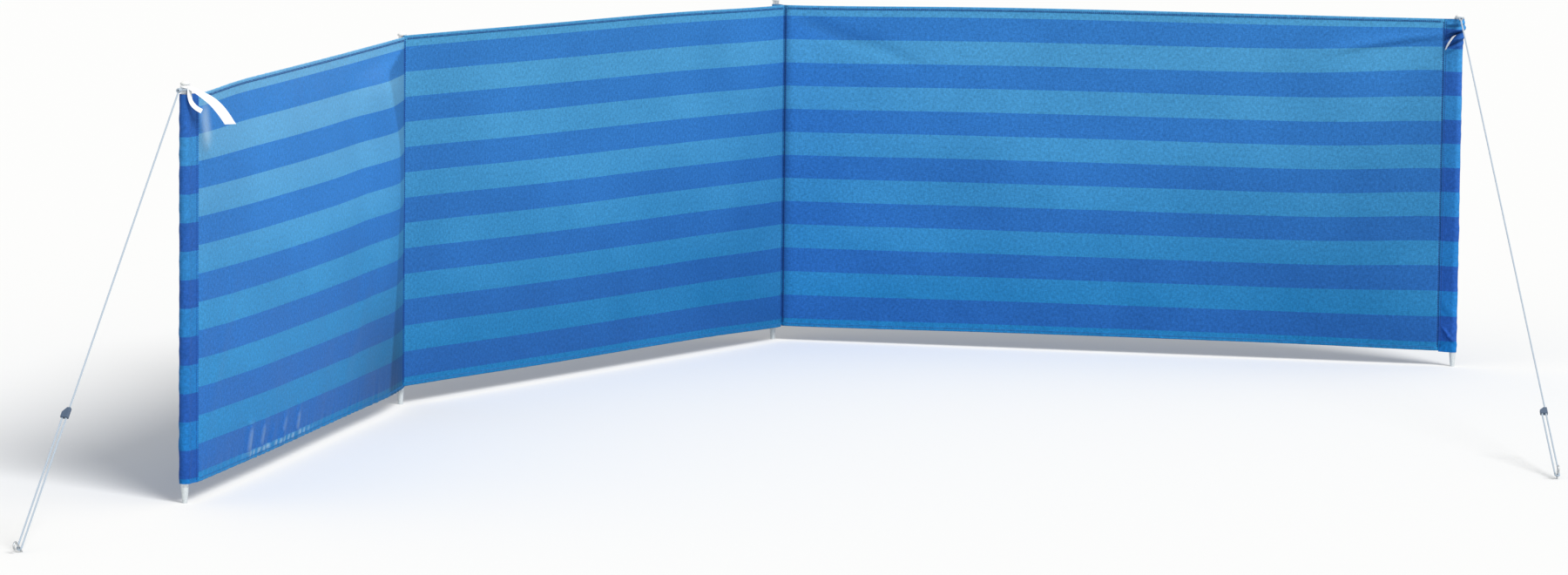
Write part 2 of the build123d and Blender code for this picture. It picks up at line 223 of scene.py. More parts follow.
class Nodes:
    """A node tree that grows from socket to socket."""

    def __init__(self, tree: bpy.types.NodeTree) -> None:
        """Takes over a tree and empties it."""
        self.tree = tree
        tree.nodes.clear()

    def add(
        self, kind: str, inputs: dict[int | str, object] | None = None, **settings: object
    ) -> bpy.types.Node:
        """Adds a node with its settings, values and links.

        Args:
            kind: Blender's name of the node type.
            inputs: A value or another node's output for each input socket.
            **settings: Properties of the node.

        Returns:
            The new node.
        """
        node = self.tree.nodes.new(kind)
        for name, value in settings.items():
            setattr(node, name, value)
        for socket, value in (inputs or {}).items():
            if isinstance(value, bpy.types.NodeSocket):
                self.tree.links.new(value, node.inputs[socket])
            else:
                node.inputs[socket].default_value = value
        return node

    def calc(self, operation: str, *values: Socket | float, clamp: bool = False) -> Socket:
        """Adds one step of arithmetic."""
        inputs = dict(enumerate(values))
        return self.add("ShaderNodeMath", inputs, operation=operation, use_clamp=clamp).outputs[0]

    def mix(self, share: Socket, first: Socket | str, second: Socket | str) -> Socket:
        """Mixes two colours.

        Args:
            share: Share of the second colour.
            first: The first colour, as a hex code or a socket.
            second: The second colour, as a hex code or a socket.

        Returns:
            The mixed colour.
        """
        ends = [linear(paint) if isinstance(paint, str) else paint for paint in (first, second)]
        inputs = {"Factor": share, 6: ends[0], 7: ends[1]}
        return self.add("ShaderNodeMix", inputs, data_type="RGBA").outputs[2]

    def spread(self, value: Socket, low: float, high: float, least: float, most: float) -> Socket:
        """Spreads the values from low to high over the range from least to most."""
        return self.add("ShaderNodeMapRange", {"Value": value, 1: low, 2: high, 3: least, 4: most}).outputs[0]

    def noise(
        self, place: Socket, scale: float, detail: float, roughness: float = 0.5, axes: str = "3D"
    ) -> Socket:
        """Adds noise, at a scale in waves to the metre."""
        inputs = {"Vector": place, "Scale": scale, "Detail": detail, "Roughness": roughness}
        return self.add("ShaderNodeTexNoise", inputs, noise_dimensions=axes).outputs["Fac"]

    def bump(self, height: Socket, strength: float, distance: float) -> Socket:
        """Turns heights into a bumped normal."""
        inputs = {"Strength": strength, "Distance": distance, "Height": height}
        return self.add("ShaderNodeBump", inputs).outputs[0]

    def place(self) -> Socket:
        """Places on the piece, in its own axes."""
        return self.add("ShaderNodeTexCoord").outputs["Object"]

    def share(self, attribute: str) -> Socket:
        """A share that is kept with the points of the piece."""
        return self.add("ShaderNodeAttribute", attribute_name=attribute).outputs["Fac"]

    def seen(self) -> Socket:
        """Adds a switch that is on where the camera, a mirror or a clear piece looks at a surface.

        Returns:
            One where it is seen, and zero for the light that it throws on other pieces.
        """
        path = self.add("ShaderNodeLightPath").outputs
        mirrored = self.calc("MAXIMUM", path["Is Camera Ray"], path["Is Glossy Ray"])
        return self.calc("MAXIMUM", mirrored, path["Is Transmission Ray"])


class Paint(Nodes):
    """A material on a Principled shader."""

    def __init__(self, name: str) -> None:
        """Starts the material.

        Args:
            name: Name of the material.
        """
        self.material = bpy.data.materials.new(name)
        self.material.use_nodes = True
        super().__init__(self.material.node_tree)

    def finish(self, inputs: dict[str, object]) -> bpy.types.Material:
        """Ends the material with its shader.

        Args:
            inputs: A value or a node's output for each of the shader's sockets.

        Returns:
            The material.
        """
        shader = self.add("ShaderNodeBsdfPrincipled", inputs)
        self.add("ShaderNodeOutputMaterial", {"Surface": shader.outputs["BSDF"]})
        return self.material


@dataclass(frozen=True)
class StripedCanvas:
    """Woven polyester-cotton canvas with yarn-dyed level stripes and a light water-repellent finish.

    The eye sees two blues in even bands, a fine speckle of uneven yarns, a soft pale bloom where the
    cloth turns edge on, and a slight gloss. Painted highlights lie on the ridges of folds, and painted
    shade and painted sheen come in through the cloth's own shares.
    """

    title: str = "striped_canvas_woven"
    light: str = "#2382c0"
    dark: str = "#2b68b5"
    # Painted light: the colours towards the top, which is painted lighter as if lit more from above
    light_faded_and_lit: str = "#52a0d0"
    dark_faded_and_lit: str = "#3980c8"
    # Painted sheen and painted highlights mix the cloth towards this white
    painted_sheen_white: str = "#cfe3ea"
    bloom: str = "#8fd0f0"
    stripe: float = 0.058
    bottom_margin: float = 0.020
    # Threads are about 0.6 mm apart; drawn at 2.2 mm, because finer ones don't show
    thread: float = 0.0022
    slub_length: float = 0.009
    knot: float = 0.0075
    patches_per_metre: float = 3.2
    speckle: float = 0.18
    # How much less painted sheen the dark stripes take
    dark_sheen_cut: float = 0.12

    def make_stripes(self, paint: Paint, up: Socket, is_dark: Socket, patches: Socket) -> Socket:
        """Dyes the stripes, with painted light that makes their upper part lighter, and uneven fading.

        Args:
            paint: The material.
            up: Heights on the cloth.
            is_dark: One on the dark stripes.
            patches: Broad soft noise.

        Returns:
            The stripes' colour.
        """
        # Painted light: the upper part is lighter than the part near the ground, as if lit more from above;
        # broad patches fade it unevenly
        fade_and_top_light = paint.calc("MULTIPLY_ADD", patches, 0.3, paint.spread(up, 0.0, 0.80, -0.1, 0.9), clamp=True)
        light = paint.mix(fade_and_top_light, self.light, self.light_faded_and_lit)
        dark = paint.mix(fade_and_top_light, self.dark, self.dark_faded_and_lit)
        return paint.mix(is_dark, light, dark)

    def make_yarns(self, paint: Paint, flat: Socket) -> Socket:
        """Spins uneven yarns, both ways of the weave.

        Args:
            paint: The material.
            flat: Places on the flat cloth.

        Returns:
            The sum of both ways' unevenness.
        """
        yarn, slub = 1.0 / self.thread, 1.0 / self.slub_length
        ways = []
        for scale in ((yarn, slub, 1.0), (slub, yarn, 1.0)):
            stretched = paint.add("ShaderNodeMapping", {"Vector": flat, "Scale": scale}).outputs[0]
            ways.append(paint.noise(stretched, 1.0, 2.0, 0.6, "2D"))
        return paint.calc("ADD", *ways)

    def make(self) -> bpy.types.Material:
        """Builds the canvas material on the cloth's own flat map, which is in metres.

        Returns:
            The material.
        """
        paint = Paint(self.title)
        flat = paint.add("ShaderNodeUVMap", uv_map=CLOTH_UV).outputs["UV"]
        up = paint.add("ShaderNodeSeparateXYZ", {"Vector": flat}).outputs["Y"]
        count = paint.calc("MULTIPLY_ADD", up, 1.0 / self.stripe, -self.bottom_margin / self.stripe)
        is_dark = paint.calc("LESS_THAN", paint.calc("FLOORED_MODULO", count, 2.0), 1.0)
        patches = paint.noise(flat, self.patches_per_metre, 3.0, 0.55, "2D")
        yarns = self.make_yarns(paint, flat)
        knots = paint.noise(flat, 1.0 / self.knot, 2.0, 0.7, "2D")
        threads = paint.spread(yarns, 0.6, 1.4, 1.0 - self.speckle, 1.0 + self.speckle)
        clouds = paint.spread(knots, 0.2, 0.8, 1.0 - self.speckle, 1.0 + self.speckle)
        # Painted shade from the cloth's shade share; where the share is negative the cloth is painted lighter
        kept = paint.calc("SUBTRACT", 1.0, paint.share(CLOTH_SHADE))
        even = paint.calc("MULTIPLY", paint.spread(patches, 0.3, 0.7, 0.95, 1.05), kept)
        shade = paint.calc("MULTIPLY", paint.calc("MULTIPLY", threads, clouds), even)
        stripes = self.make_stripes(paint, up, is_dark, patches)
        dyed = paint.add("ShaderNodeVectorMath", {0: stripes, "Scale": shade}, operation="SCALE").outputs[0]
        # Painted sheen and painted highlights whiten the light stripes more than the dark ones
        painted_sheen = paint.share(CLOTH_PAINTED_SHEEN)
        white = paint.calc("MULTIPLY_ADD", is_dark, -self.dark_sheen_cut, painted_sheen, clamp=True)
        weave = paint.add("ShaderNodeTexChecker", {"Vector": flat, "Scale": 1.0 / self.thread}).outputs["Fac"]
        inputs = {
            "Base Color": paint.mix(white, dyed, self.painted_sheen_white),
            "Roughness": paint.spread(patches, 0.3, 0.7, 0.50, 0.62),
            "Normal": paint.bump(paint.calc("ADD", weave, yarns), 0.12, 0.0006),
            "IOR": 1.5,
            "Specular IOR Level": 0.08,
            "Sheen Weight": 0.04,
            "Sheen Roughness": 0.4,
            "Sheen Tint": linear(self.bloom),
        }
        return paint.finish(inputs)


@dataclass(frozen=True)
class FibreFinish:
    """Spun fibre, such as cotton tape, braided cord or sewing thread: dull, with fine lit fibres."""

    name: str
    colour: str
    shadow: str
    fibre: float
    roughness: float = 0.78
    sheen: float = 0.3

    def make(self) -> bpy.types.Material:
        """Builds the fibre material from fine noise at the fibre's own size.

        Returns:
            The material.
        """
        paint = Paint(self.name)
        fibres = paint.noise(paint.place(), 1.0 / self.fibre, 3.0, 0.65)
        inputs = {
            "Base Color": paint.mix(fibres, self.shadow, self.colour),
            "Normal": paint.bump(fibres, 0.25, 0.0003),
            "Roughness": self.roughness,
            "Sheen Weight": self.sheen,
            "Sheen Roughness": 0.5,
        }
        return paint.finish(inputs)


@dataclass(frozen=True)
class SteelFinish:
    """Zinc-coated or turned steel: soft grey gloss with small crystals or turning marks and a few scuffs."""

    name: str
    colour: str
    tint: str
    grain: float
    roughness: float
    metal: float = 1.0
    scuffs_per_metre: float = 180.0

    def make(self) -> bpy.types.Material:
        """Builds the steel from crystals at their real size and soft scuffs.

        Returns:
            The material.
        """
        paint = Paint(self.name)
        place = paint.place()
        crystals = paint.add("ShaderNodeTexVoronoi", {"Vector": place, "Scale": 1.0 / self.grain})
        scuffs = paint.noise(place, self.scuffs_per_metre, 4.0, 0.6)
        inputs = {
            "Base Color": paint.mix(crystals.outputs["Distance"], self.colour, self.tint),
            "Roughness": paint.spread(scuffs, 0.3, 0.7, self.roughness - 0.08, self.roughness + 0.12),
            "Normal": paint.bump(scuffs, 0.08, 0.0002),
            "Metallic": self.metal,
        }
        return paint.finish(inputs)


@dataclass(frozen=True)
class MouldedPlastic:
    """Injection-moulded polypropylene: even colour, satin skin with a fine spark-eroded grain."""

    name: str
    colour: str
    worn: str
    roughness: float
    # The mould's grain is about 0.1 mm; drawn at 0.4 mm so that it shows
    grain: float = 0.0004
    handled_per_metre: float = 90.0

    def make(self) -> bpy.types.Material:
        """Builds the plastic with its moulded grain and slightly paler handled patches.

        Returns:
            The material.
        """
        paint = Paint(self.name)
        place = paint.place()
        handled = paint.noise(place, self.handled_per_metre, 3.0)
        inputs = {
            "Base Color": paint.mix(handled, self.colour, self.worn),
            "Normal": paint.bump(paint.noise(place, 1.0 / self.grain, 2.0), 0.1, 0.0001),
            "Roughness": self.roughness,
            "IOR": 1.49,
        }
        return paint.finish(inputs)


@dataclass(frozen=True)
class PaleFloor:
    """Matt pale studio floor, a touch uneven so that its shadows look soft."""

    colour: str = "#f0f0ef"
    # What the floor throws back at the cloth: duller than it looks, and cool as under a clear sky
    bounce: str = "#94a2ac"
    mottle_per_metre: float = 2.0

    def make(self) -> bpy.types.Material:
        """Builds the floor's matt paint.

        Returns:
            The material.
        """
        paint = Paint("matt_floor_paint")
        mottle = paint.noise(paint.place(), self.mottle_per_metre, 3.0)
        inputs = {
            "Base Color": paint.mix(paint.seen(), self.bounce, self.colour),
            "Roughness": paint.spread(mottle, 0.0, 1.0, 0.85, 0.95),
            "Specular IOR Level": 0.0,
        }
        return paint.finish(inputs)


class Finishes:
    """All the windbreak's materials, each made once."""

    def __init__(self) -> None:
        """Makes every material."""
        self.canvas = StripedCanvas().make()
        # Painted shade: less light comes through the two plies of a sleeve, so its blues are painted deeper
        self.double_canvas_painted_shade = StripedCanvas(
            title="striped_canvas_double_painted_shade",
            light="#1c7ac7",
            dark="#285ab1",
            light_faded_and_lit="#4497d7",
            dark_faded_and_lit="#356fc3",
        ).make()
        thread = partial(FibreFinish, fibre=0.0006, sheen=0.0)
        self.thread = thread("sewing_thread_polyester", "#164a96", "#0d3272").make()
        self.pale_thread = thread("sewing_thread_polyester_pale", "#2a78b6", "#1f66a4").make()
        self.tape = FibreFinish("cotton_tape_woven", "#ffffff", "#f2f1ee", 0.0011).make()
        self.rope = FibreFinish("polypropylene_cord_twisted", "#c9d3dc", "#8fa0b0", 0.0007, 0.6).make()
        self.tube = SteelFinish("steel_tube_galvanised", "#d3d7da", "#b4babf", 0.006, 0.36).make()
        self.spike = SteelFinish("steel_spike_zinc_dipped", "#e4e8e8", "#d2d7d8", 0.004, 0.55, 0.35).make()
        self.peg = SteelFinish("steel_wire_galvanised", "#c9ccce", "#a9adb0", 0.004, 0.4).make()
        self.cap = MouldedPlastic("polypropylene_white_moulded", "#f3f3f0", "#e6e6e2", 0.45).make()
        self.runner = MouldedPlastic("polypropylene_bluegrey_moulded", "#3d4f66", "#52647b", 0.5).make()
        self.floor = PaleFloor().make()


# ---------------------------------------------------------------- mesh tools


def only(obj: Piece) -> None:
    """Makes one object the only selected and active one.

    Args:
        obj: The object.
    """
    bpy.ops.object.select_all(action="DESELECT")
    obj.select_set(True)
    bpy.context.view_layer.objects.active = obj


def tidy_mesh(obj: Piece, merge: float = 1e-5) -> None:
    """Merges doubles and turns all faces outwards.

    Args:
        obj: The mesh object.
        merge: Distance under which points become one.
    """
    only(obj)
    bpy.ops.object.mode_set(mode="EDIT")
    bpy.ops.mesh.select_all(action="SELECT")
    bpy.ops.mesh.remove_doubles(threshold=merge)
    bpy.ops.mesh.normals_make_consistent(inside=False)
    bpy.ops.object.mode_set(mode="OBJECT")


def apply_modifier(obj: Piece, kind: str, **settings: object) -> None:
    """Adds a modifier and applies it at once.

    Args:
        obj: The mesh object.
        kind: Blender's modifier type.
        **settings: The modifier's properties.
    """
    only(obj)
    bpy.ops.object.modifier_add(type=kind)
    modifier = obj.modifiers[-1]
    for name, value in settings.items():
        setattr(modifier, name, value)
    bpy.ops.object.modifier_apply(modifier=modifier.name)


def cloth_grid(
    name: str, places: Array, flat: Array, shade: Array | float = 0.0, painted_sheen: Array | float = 0.0
) -> Piece:
    """Adds a grid and lays each of its points in its place.

    Args:
        name: Name of the new piece.
        places: Points of the surface, as rows by columns by 3.
        flat: The same points on the cloth laid flat, in metres, as rows by columns by 2.
        shade: Painted shade at each point, as a share; negative where it is painted lighter.
        painted_sheen: Painted sheen and highlights at each point, as a share of white.

    Returns:
        The new mesh object, with the flat map as its UV map, and the painted shade and painted sheen as
        attributes.
    """
    rows, columns = places.shape[0] - 1, places.shape[1] - 1
    bpy.ops.object.select_all(action="DESELECT")
    bpy.ops.mesh.primitive_grid_add(x_subdivisions=columns, y_subdivisions=rows, size=2.0)
    obj = bpy.context.object
    obj.name = obj.data.name = name
    mesh = obj.data
    start = np.empty(len(mesh.vertices) * 3)
    mesh.vertices.foreach_get("co", start)
    start = start.reshape(-1, 3)
    column = np.rint((start[:, 0] + 1) / 2 * columns).astype(int)
    row = np.rint((start[:, 1] + 1) / 2 * rows).astype(int)
    mesh.vertices.foreach_set("co", places[row, column].ravel())
    corner = np.empty(len(mesh.loops), dtype=int)
    mesh.loops.foreach_get("vertex_index", corner)
    layer = mesh.uv_layers[0]
    layer.name = CLOTH_UV
    layer.uv.foreach_set("vector", flat[row[corner], column[corner]].ravel())
    for attribute, values in ((CLOTH_SHADE, shade), (CLOTH_PAINTED_SHEEN, painted_sheen)):
        shares = np.broadcast_to(values, places.shape[:2])[row, column]
        mesh.attributes.new(attribute, "FLOAT", "POINT").data.foreach_set("value", shares.astype(np.float32))
    mesh.update()
    return obj


def plain_back(sheet: Piece, shade: float) -> None:
    """Keeps the painted shade, sheen and highlights off a solid sheet's back, whose points come after those
    of its front.

    Args:
        sheet: The sheet, with its thickness.
        shade: The even shade of the back.
    """
    for attribute, value in ((CLOTH_SHADE, shade), (CLOTH_PAINTED_SHEEN, 0.0)):
        data = sheet.data.attributes[attribute].data
        shares = np.empty(len(data), dtype=np.float32)
        data.foreach_get("value", shares)
        shares[len(data) // 2 :] = value
        data.foreach_set("value", shares)


def dress(obj: Piece, material: bpy.types.Material, replaces: Sequence[str] = ()) -> Piece:
    """Gives a finished piece its material and its place in the frame.

    Args:
        obj: The finished piece.
        material: Its material.
        replaces: CAD nodes that it stands for.

    Returns:
        The same piece.
    """
    obj.data.materials.clear()
    obj.data.materials.append(material)
    only(obj)
    bpy.ops.object.shade_smooth_by_angle(angle=math.radians(50))
    if replaces:
        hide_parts(*replaces)
    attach(obj, BODY)
    LOG.info("%s: %d faces", obj.name, len(obj.data.polygons))
    return obj


def dress_node(name: str, material: bpy.types.Material) -> None:
    """Gives a CAD node that stays in view its material.

    Args:
        name: The node's name.
        material: Its material.
    """
    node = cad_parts[name]
    node.data.materials.clear()
    node.data.materials.append(material)
    LOG.info("%s: dressed", name)


def joined(pieces: Sequence[Piece], name: str) -> Piece:
    """Joins several meshes into one piece.

    Args:
        pieces: The meshes.
        name: Name of the joined piece.

    Returns:
        The joined piece.
    """
    only(pieces[0])
    for piece in pieces:
        piece.select_set(True)
    bpy.ops.object.join()
    obj = bpy.context.view_layer.objects.active
    obj.name = obj.data.name = name
    return obj


@dataclass(frozen=True)
class Stitches:
    """A straight row of sewn stitches along +X from the origin, to be bent along the cloth."""

    length: float
    pitch: float
    thread: float

    def make_row(self) -> Piece:
        """Makes the row, with each stitch a flattened bead that dips at both ends.

        Returns:
            One mesh with all of the stitches.
        """
        bpy.ops.object.select_all(action="DESELECT")
        bpy.ops.mesh.primitive_uv_sphere_add(segments=5, ring_count=4, radius=0.5)
        row = bpy.context.object
        size = (self.pitch * 0.94, self.thread, self.thread * 0.7)
        bpy.ops.object.mode_set(mode="EDIT")
        bpy.ops.mesh.select_all(action="SELECT")
        bpy.ops.transform.rotate(value=math.pi / 2, orient_axis="Y", center_override=(0.0, 0.0, 0.0))
        bpy.ops.transform.resize(value=size, center_override=(0.0, 0.0, 0.0))
        bpy.ops.transform.translate(value=(self.pitch / 2, 0.0, 0.0))
        bpy.ops.object.mode_set(mode="OBJECT")
        apply_modifier(
            row,
            "ARRAY",
            count=max(1, int(self.length / self.pitch)),
            use_relative_offset=False,
            use_constant_offset=True,
            constant_offset_displace=(self.pitch, 0.0, 0.0),
        )
        return row

    def sew(self, name: str, bends: Sequence[Callable[[Array], Array]]) -> Piece:
        """Lays a copy of the row along each of several seams.

        Args:
            name: Name of the new piece.
            bends: For each copy, what takes the row's points and returns their places.

        Returns:
            All the rows as one piece.
        """
        first = self.make_row()
        straight = np.empty(len(first.data.vertices) * 3)
        first.data.vertices.foreach_get("co", straight)
        rows = [first]
        for _ in bends[1:]:
            row = first.copy()
            row.data = first.data.copy()
            bpy.context.collection.objects.link(row)
            rows.append(row)
        for row, bend in zip(rows, bends):
            row.data.vertices.foreach_set("co", bend(straight.reshape(-1, 3)).ravel())
            row.data.update()
        stitching = joined(rows, name)
        tidy_mesh(stitching, FINE_MERGE)
        return stitching


def tube_along(name: str, paths: Sequence[Array], radius: float) -> Piece:
    """Makes round strands along paths of close points.

    Args:
        name: Name of the new mesh.
        paths: One array of points for each strand.
        radius: Radius of a strand.

    Returns:
        A mesh object with all the strands.
    """
    curve = bpy.data.curves.new(name, "CURVE")
    curve.dimensions = "3D"
    curve.bevel_depth = radius
    curve.bevel_resolution = 1
    curve.use_fill_caps = True
    for path in paths:
        spline = curve.splines.new("POLY")
        spline.points.add(len(path) - 1)
        spline.points.foreach_set("co", np.column_stack([path, np.ones(len(path))]).ravel())
    obj = bpy.data.objects.new(name, curve)
    bpy.context.collection.objects.link(obj)
    only(obj)
    bpy.ops.object.convert(target="MESH")
    return bpy.context.view_layer.objects.active


def resampled(points: Array, step: float) -> Array:
    """Spreads points evenly along a line.

    Args:
        points: The line's points.
        step: Distance between the new points.

    Returns:
        The new points, from the line's first to its last.
    """
    runs = run_lengths(points)
    stops = np.linspace(0.0, runs[-1], max(2, int(runs[-1] / step) + 1))
    return np.column_stack([np.interp(stops, runs, points[:, axis]) for axis in range(3)])


def carried_sides(points: Array) -> tuple[Array, Array]:
    """Carries two sideways directions along a line without twisting them.

    Args:
        points: The line's points.

    Returns:
        Two unit vectors at each point, square to the line and to each other.
    """
    along = np.gradient(points, axis=0)
    along /= np.linalg.norm(along, axis=1, keepdims=True)
    first = np.zeros_like(points)
    guess = UPWARD if abs(along[0, 2]) < 0.9 else np.array([1.0, 0.0, 0.0])
    for index, way in enumerate(along):
        guess = guess - way * guess.dot(way)
        guess = guess / np.linalg.norm(guess)
        first[index] = guess
    return first, np.cross(along, first)


# ---------------------------------------------------------------- marks on the cloth


@dataclass(frozen=True)
class Fold:
    """A soft ridge between two places on the cloth, each a distance from the seam and a height; also lays
    painted shade and painted highlights along a line.
    """

    start: tuple[float, float]
    end: tuple[float, float]
    width: float
    height: float
    crispness: float = 2.0

    def at(self, along: Array, up: Array) -> Array:
        """Height of the ridge over the flat cloth.

        Args:
            along: Distances from the seam.
            up: Heights on the cloth.

        Returns:
            The height at each place.
        """
        run = np.array(self.end) - np.array(self.start)
        length = float(np.hypot(*run))
        share = ((along - self.start[0]) * run[0] + (up - self.start[1]) * run[1]) / length**2
        nearest = np.clip(share, 0.0, 1.0)
        away = np.hypot(along - self.start[0] - nearest * run[0], up - self.start[1] - nearest * run[1])
        fade = smooth_step(-0.15, 0.25, share) * (1.0 - smooth_step(0.6, 1.15, share))
        return self.height * fade * np.exp(-((away / self.width) ** self.crispness))


@dataclass(frozen=True)
class Spot:
    """A soft round patch of the cloth, strongest in its middle: of painted shade, painted lighter where
    negative, or of cloth pulled upwards.
    """

    middle: tuple[float, float]
    reach: tuple[float, float]
    amount: float

    def at(self, along: Array, up: Array) -> Array:
        """Amount of the patch.

        Args:
            along: Distances from the seam.
            up: Heights on the cloth.

        Returns:
            The amount at each place.
        """
        across = (along - self.middle[0]) / self.reach[0]
        over = (up - self.middle[1]) / self.reach[1]
        return self.amount * np.exp(-(across**2) - over**2)


def total(marks: Sequence[Fold | Spot], along: Array, up: Array) -> Array:
    """Adds up what several marks do at places on the cloth."""
    return sum((mark.at(along, up) for mark in marks), 0.0 * along)


@dataclass(frozen=True)
class Ripples:
    """Soft unevenness of the cloth, as a sum of seeded waves."""

    seed: int
    shortest: float
    longest: float
    height: float
    waves: int = 14
    upright: float = 0.0

    def lift(self, along: Array, up: Array) -> Array:
        """Height of the ripples.

        Args:
            along: Distances along the cloth.
            up: Heights on the cloth.

        Returns:
            The lift at each place.
        """
        dice = np.random.default_rng(self.seed)
        lift = np.zeros(np.broadcast(along, up).shape)
        for _ in range(self.waves):
            length = self.shortest * (self.longest / self.shortest) ** dice.random()
            turn = math.pi * dice.random() * (1.0 - self.upright)
            phase = FULL_TURN * dice.random()
            lift = lift + np.sin(FULL_TURN / length * (along * math.cos(turn) + up * math.sin(turn)) + phase)
        return lift * self.height / math.sqrt(self.waves)


@dataclass(frozen=True)
class Beads:
    """A row of small puckers where a hem was sewn too tight."""

    start: float
    end: float
    pitch: float
    level: float
    reach: float
    height: float
    # Painted highlight on the puckers, as a share of white
    gleam: float

    def at(self, along: Array, up: Array) -> Array:
        """Strength of the puckers.

        Args:
            along: Distances from the left seam.
            up: Heights on the cloth.

        Returns:
            The strength at each place, from 0 to 1.
        """
        span = smooth_step(self.start - 0.04, self.start + 0.04, along)
        span = span * (1.0 - smooth_step(self.end - 0.08, self.end + 0.08, along))
        phase = along / self.pitch + 0.25 * np.sin(along * 31.0) + 0.15 * np.sin(along * 67.0)
        swell = (0.5 + 0.5 * np.cos(FULL_TURN * phase)) ** 1.6
        return span * swell * np.exp(-(((up - self.level) / self.reach) ** 2))


@dataclass(frozen=True)
class Crest:
    """A long upright ridge that the wind leaves beside a pole: it rises slowly and falls off to the seam."""

    gap: float
    reach: float
    height: float
    top: float
    rounding: float = 0.003
    # Painted shade on the sheltered side of the ridge, as a share
    depth: float = 0.30

    def line(self, up: Array) -> Array:
        """Distance of the ridge's crest from the seam at each height."""
        full = 0.72 + 0.28 * smooth_step(0.55, 0.72, up)
        return self.gap * full * (1.0 - 0.95 * smooth_step(self.top - 0.065, self.top, up))

    def shade(self, gap: Array, up: Array) -> Array:
        """Painted shade on the sheltered side of the ridge, which is turned away from the light."""
        return self.depth * (1.0 - smooth_step(-0.14, 0.05, gap / self.line(up) - 1.0))

    def lift(self, gap: Array, up: Array) -> Array:
        """Height of the ridge.

        Args:
            gap: Distances from the pole's seam.
            up: Heights on the cloth.

        Returns:
            The lift at each place.
        """
        crest = self.line(up)
        fall = gap / crest
        rise = 1.0 - smooth_step(0.0, self.reach, gap - crest)
        soft = self.rounding / self.gap
        ridge = (fall + rise - np.sqrt((fall - rise) ** 2 + soft)) / 2
        level = 0.35 + 0.65 * smooth_step(0.0, 0.45, up)
        below_top = 1.0 - smooth_step(self.top - 0.1, self.top, up)
        return self.height * np.maximum(ridge, 0.0) * level * below_top


# ---------------------------------------------------------------- cloth


